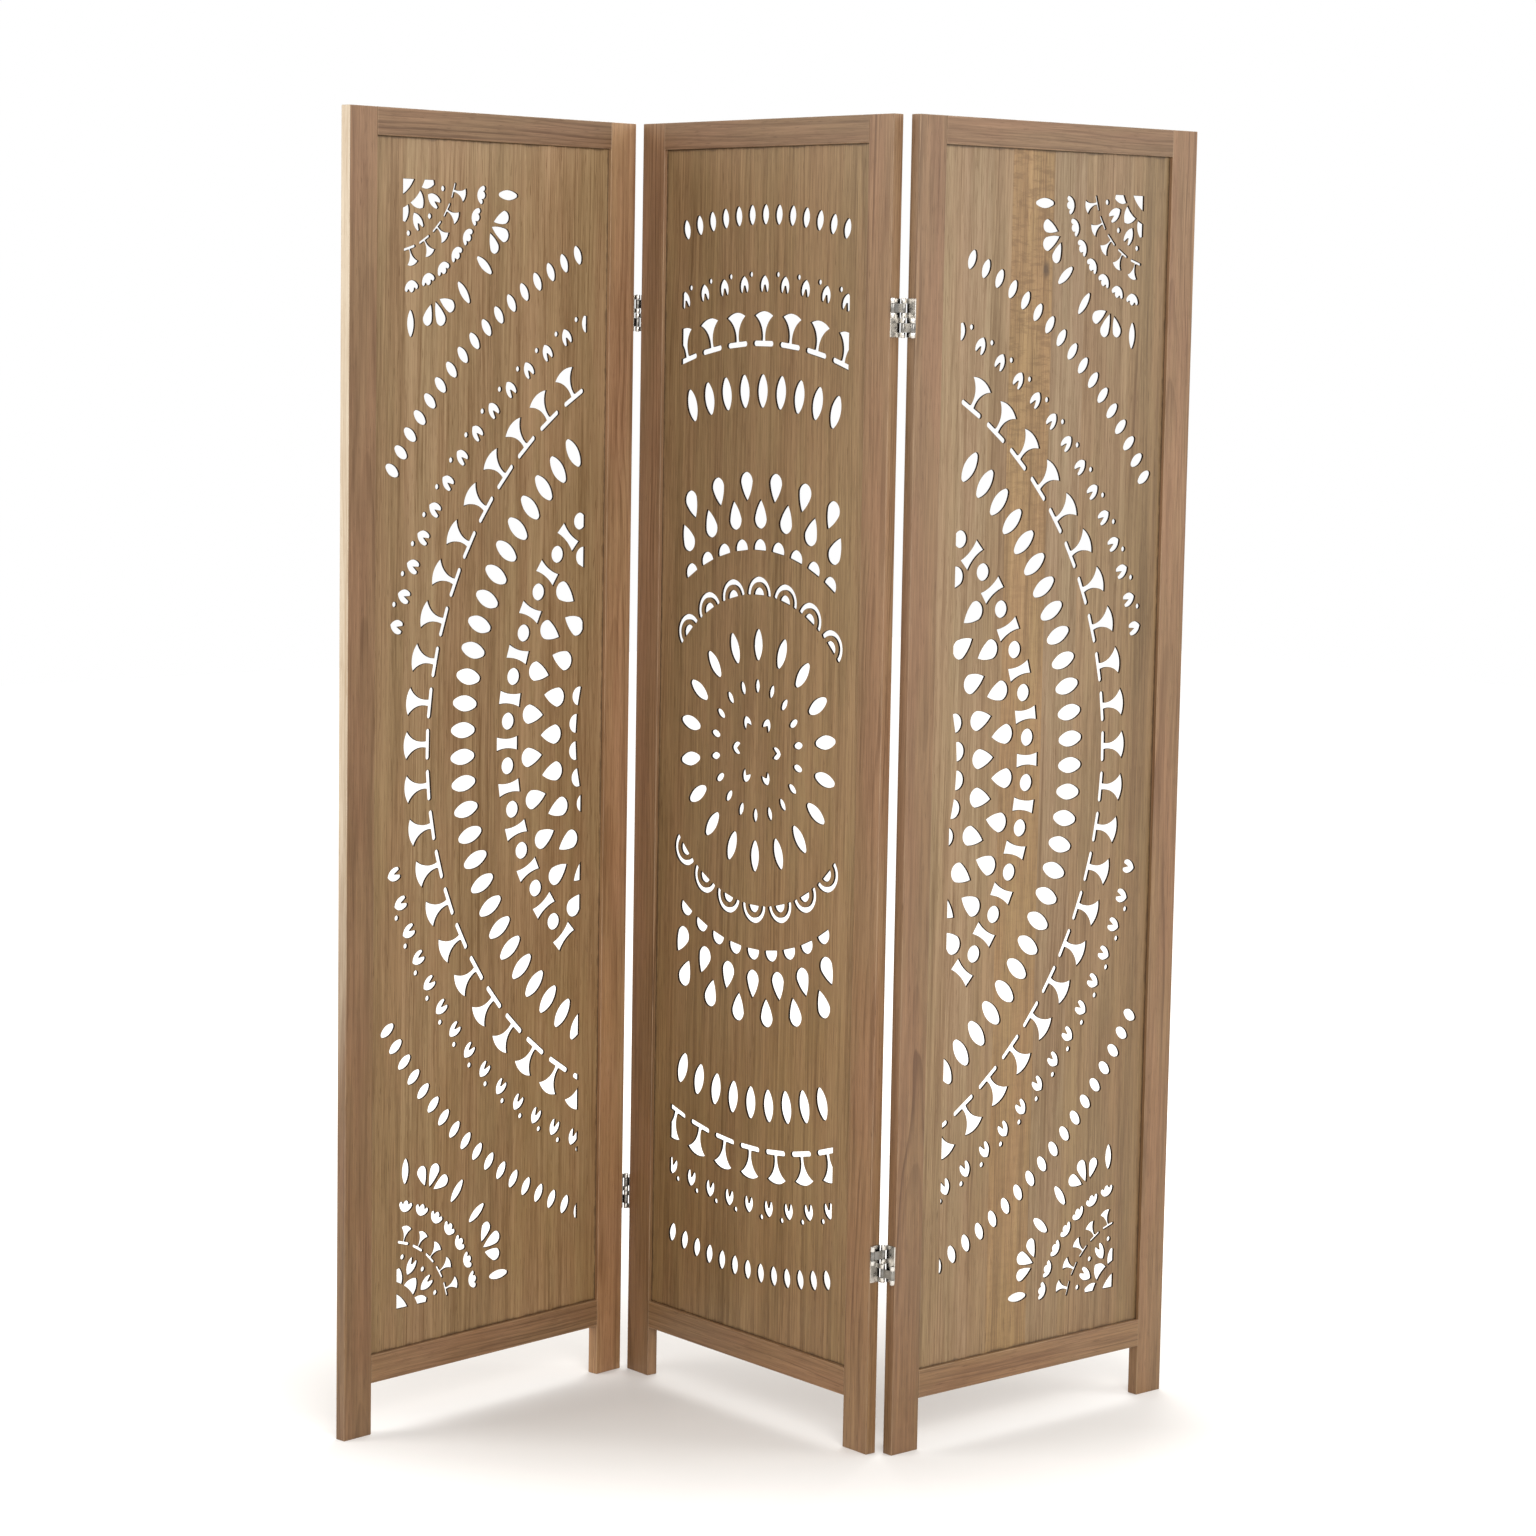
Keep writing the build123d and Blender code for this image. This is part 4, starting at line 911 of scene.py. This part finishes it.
scorched = scorch_material()
patterns = {"left": side_pattern(-1), "middle": middle_pattern(), "right": side_pattern(1)}
for board_number, (panel, outlines) in enumerate(patterns.items(), 1):
    mesh = cut_board(f"{panel}_fretted_board", outlines)
    mesh.materials.clear()
    mesh.materials.append(board_material(panel, board_number))
    mesh.materials.append(scorched)
    mesh.shade_smooth()
    mesh.set_sharp_from_angle(angle=radians(CREASE_ANGLE))
    for face in mesh.polygons:
        face.material_index = 1 if is_cut_wall(face) else 0
    board = put_in_scene(f"{panel}_fretted_board", mesh)
    board.matrix_world = panel_place(panel)
    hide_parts(f"{panel}_carved_board")
    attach(board, f"{panel}_panel")


# ======================================================================== dowels
# Two beech dowels in each butt joint between rail and stile: turned rod, left pale, glued in drilled
# holes and hidden inside the wood.

DOWEL_PALE = (0.620, 0.440, 0.270)
DOWEL_DARK = (0.430, 0.270, 0.150)


def dowel_material(panel):
    material, tree = new_material(f"beech dowels {panel}")
    along = laid_down(tree, piece_point(tree, middle_of(f"{panel}_dowels"), panel_turn(panel)))
    grain = place_effect(tree, wood_grain, {"Vector": along, "Ring Width": 0.0016, "Wander": 0.004})
    fleck = between(tree, mottle(tree, along, (900.0, 900.0, 220.0), 1.0).outputs[0], 0.56, 0.64)
    colour = blend_colours(tree, grain["Dark"], opaque(DOWEL_PALE), opaque(DOWEL_DARK))
    colour = blend_colours(tree, reckon(tree, "MULTIPLY", fleck, 0.4), colour, opaque(DOWEL_DARK))
    bump = add(tree, "Bump", {"Height": grain["Height"], "Strength": 0.4, "Distance": GRAIN_RELIEF})
    shader = add(tree, "BsdfPrincipled", {
        "Base Color": colour, "Roughness": 0.6, "Normal": bump.outputs[0],
    })
    close_material(tree, shader.outputs[0])
    return material


for panel in PANEL_STILES:
    nodes[f"{panel}_dowels"].material_slots[0].material = dowel_material(panel)


# ======================================================================== hinges
# Four double-action screen hinges of nickel-plated steel, two to a fold: a pressed leaf screwed to
# each stile's edge, links that cross from one face to the other, and riveted pins. The plating is
# bright, with fine rubbing and a duller film where fingers have been, and painted shade darkens the
# links and the crevices between the parts.

NICKEL = (0.700, 0.670, 0.620)
NICKEL_FILM = (0.380, 0.350, 0.300)
CREVICE_REACH = 0.008            # how near another surface has to be for the painted shade to fall
CREVICE_OPENNESS = (0.40, 0.92)  # share of open air at a point: all painted shade at the first, none at the second
CREVICE_PAINTED_SHADE = (0.020, 0.016, 0.012)
PRESSED_EDGE = 0.00025           # radius of a leaf's and a link's rounded edges
PRESSED_ANGLE = 40.0             # edges sharper than this are rounded
SAME_CORNER = 0.000002           # corners of neighbouring faces nearer than this are one


def make_plating_wear():
    """Fine rubbing and a cloudy film on plated metal."""
    tree, given, result = effect(
        "plating wear",
        {"Vector": ("Vector", None), "Brushed": ("Float", 0.5)},
        {"Film": "Float", "Roughness": "Float", "Height": "Float"},
    )
    film = mottle(tree, given["Vector"], (60.0, 60.0, 60.0), 3.0, 0.6).outputs[0]
    scratches = mottle(tree, given["Vector"], (2500.0, 2500.0, 120.0), 2.0, 0.6).outputs[0]
    clouded = between(tree, film, 0.45, 0.70)
    rough = reckon(tree, "MULTIPLY_ADD", clouded, 0.16, 0.20)
    rubbing = reckon(tree, "MULTIPLY", scratches, given["Brushed"])
    tree.links.new(clouded, result["Film"])
    tree.links.new(reckon(tree, "MULTIPLY_ADD", rubbing, 0.14, rough), result["Roughness"])
    tree.links.new(rubbing, result["Height"])
    return tree


plating_wear = make_plating_wear()


def nickel_material(name, brushed, shade):
    material, tree = new_material(name)
    wear = place_effect(tree, plating_wear, {"Vector": object_point(tree), "Brushed": brushed})
    bright = opaque([channel * shade for channel in NICKEL])
    filmed = blend_colours(tree, reckon(tree, "MULTIPLY", wear["Film"], 0.4), bright, opaque(NICKEL_FILM))
    # painted shade: the plating goes nearly black where neighbouring parts close it in
    open_air = add(tree, "AmbientOcclusion", {"Distance": CREVICE_REACH}, samples=8).outputs["AO"]
    out_of_shade = between(tree, open_air, *CREVICE_OPENNESS)
    colour = blend_colours(tree, out_of_shade, opaque(CREVICE_PAINTED_SHADE), filmed)
    bump = add(tree, "Bump", {"Height": wear["Height"], "Strength": 0.2, "Distance": 0.00003})
    shader = add(tree, "BsdfPrincipled", {
        "Base Color": colour, "Metallic": 1.0, "Roughness": wear["Roughness"], "Normal": bump.outputs[0],
    })
    close_material(tree, shader.outputs[0])
    return material


# each with how strongly it is rubbed, and how bright the plating is; the links' low value is painted shade
nickel_finishes = {
    "leaf": nickel_material("nickel leaf", 0.8, 1.0),
    "link": nickel_material("nickel link", 0.5, 0.30),
    "pins": nickel_material("nickel pins", 0.2, 1.05),
    "screws": nickel_material("nickel screws", 0.3, 0.9),
}
for name, node in nodes.items():
    if "_hinge_" not in name:
        continue
    kind = name.rsplit("_", 1)[1]
    node.material_slots[0].material = nickel_finishes[kind]
    if kind in ("leaf", "link"):
        weld = node.modifiers.new("joined faces", "WELD")
        weld.merge_threshold = SAME_CORNER
        rounding = node.modifiers.new("pressed edges", "BEVEL")
        rounding.width = PRESSED_EDGE
        rounding.segments = 2
        rounding.limit_method = "ANGLE"
        rounding.angle_limit = radians(PRESSED_ANGLE)
        rounding.harden_normals = True


# ======================================================================== floor and light
# A plain pale floor that keeps the screen's soft shadow and runs out to white, under a white studio
# surround; seen directly, its glow is held low round the screen, which paints in a deeper shadow there.
# Four soft lamps: a broad one at the right, one behind it for the wood's sheen, one in front at the
# left and one high up behind.

FLOOR_HALF = 9.0
FLOOR_COLOUR = (0.770, 0.745, 0.712)
FLOOR_DUST = 1.03                # how much lighter the floor is where dust lies on it
FLOOR_GLOW_IN_PAINTED_SHADOW = 0.10
FLOOR_GLOW_FAR = 0.62
# centres of the painted shadow, which the floor's glow keeps away from: where it starts to rise, and where
# it is full
PAINTED_SHADOW_PLACES = (
    ((0.0, 0.0, 0.0), 0.35, 1.15),
    ((-0.31, 0.26, 0.0), 0.55, 1.20),
)
WHITE = (1.0, 1.0, 1.0)
SURROUND = 0.64                  # how strongly the surround lights the screen. Seen itself, it is white
SCREEN_MIDDLE = Vector((0.0, 0.0, 0.9))
# each lamp's place, its width and its power in watts
LAMPS = {
    "right soft lamp": ((3.2, -1.6, 2.2), 1.8, 66.0),
    "right sheen lamp": ((2.9, 3.0, 3.0), 2.0, 46.0),
    "front left lamp": ((-1.5, -3.0, 2.3), 1.6, 40.0),
    "high back lamp": ((-1.6, 1.8, 3.4), 1.6, 50.0),
}

floor_mesh = bpy.data.meshes.new("floor")
corners = [(x * FLOOR_HALF, y * FLOOR_HALF, 0) for x, y in ((-1, -1), (1, -1), (1, 1), (-1, 1))]
floor_mesh.from_pydata(corners, [], [(0, 1, 2, 3)])
put_in_scene("floor", floor_mesh)


def seen_directly(tree):
    """1 where the camera sees the surface, itself, in metal or through glass."""
    rays = add(tree, "LightPath").outputs
    seen = reckon(tree, "MAXIMUM", rays["Is Camera Ray"], rays["Is Glossy Ray"])
    return reckon(tree, "MAXIMUM", seen, rays["Is Transmission Ray"])


floor_material, tree = new_material("pale floor")
own = object_point(tree)
dust = mottle(tree, own, (7.0, 7.0, 7.0), 4.0).outputs[0]
dusty = opaque([channel * FLOOR_DUST for channel in FLOOR_COLOUR])
tinted = blend_colours(tree, dust, opaque(FLOOR_COLOUR), dusty)
matt = add(tree, "BsdfPrincipled", {"Base Color": tinted, "Roughness": 0.9})
painted_shadow_glows = []
# the glow is held low near these places, which paints a shadow on the floor round the screen
for place, near, far in PAINTED_SHADOW_PLACES:
    distance = length_of(tree, reckon_vector(tree, "SUBTRACT", own, place))
    painted_shadow_glows.append(between(tree, distance, near, far, FLOOR_GLOW_IN_PAINTED_SHADOW, FLOOR_GLOW_FAR))
strength = reckon(tree, "MULTIPLY", seen_directly(tree), reckon(tree, "MAXIMUM", *painted_shadow_glows))
glow = add(tree, "Emission", {"Color": opaque(WHITE), "Strength": strength})
close_material(tree, add(tree, "AddShader", {0: matt.outputs[0], 1: glow.outputs[0]}).outputs[0])
floor_mesh.materials.append(floor_material)

world = bpy.data.worlds.new("studio")
world.use_nodes = True
tree = world.node_tree
tree.nodes.clear()
strength = reckon(tree, "MULTIPLY_ADD", seen_directly(tree), 1.0 - SURROUND, SURROUND)
surround = add(tree, "Background", {"Color": opaque(WHITE), "Strength": strength})
world_output = tree.nodes.new("ShaderNodeOutputWorld")
tree.links.new(surround.outputs[0], world_output.inputs["Surface"])
bpy.context.scene.world = world

for name, (place, width, watts) in LAMPS.items():
    lamp = bpy.data.lights.new(name, "AREA")
    lamp.shape = "SQUARE"
    lamp.size = width
    lamp.energy = watts
    holder = put_in_scene(name, lamp)
    holder.location = place
    holder.rotation_euler = (SCREEN_MIDDLE - Vector(place)).to_track_quat("-Z", "Y").to_euler()


# ======================================================================== camera
# Five metres off at the front right and a little below the screen's top, with a long lens that is
# tipped by a degree.

CAMERA_PLACE = (3.77443, -3.15479, 1.45319)
CAMERA_LENS = 88.754
CAMERA_SENSOR = 36.0
CAMERA_YAW = 49.96
CAMERA_PITCH = -6.85
CAMERA_ROLL = 1.01


def camera_turn(yaw, pitch, roll):
    """Columns: the picture's right, its up, and back along the line of sight."""
    ahead = Vector((-sin(yaw) * cos(pitch), cos(yaw) * cos(pitch), sin(pitch)))
    level_right = Vector((cos(yaw), sin(yaw), 0.0))
    level_up = level_right.cross(ahead)
    right = cos(roll) * level_right + sin(roll) * level_up
    up = cos(roll) * level_up - sin(roll) * level_right
    return Matrix((right, up, -ahead)).transposed().to_4x4()


camera_data = bpy.data.cameras.new("camera")
camera_data.lens = CAMERA_LENS
camera_data.sensor_width = CAMERA_SENSOR
camera = put_in_scene("camera", camera_data)
turn = camera_turn(radians(CAMERA_YAW), radians(CAMERA_PITCH), radians(CAMERA_ROLL))
camera.matrix_world = Matrix.Translation(CAMERA_PLACE) @ turn
bpy.context.scene.camera = camera
bpy.context.scene.view_settings.view_transform = "Standard"
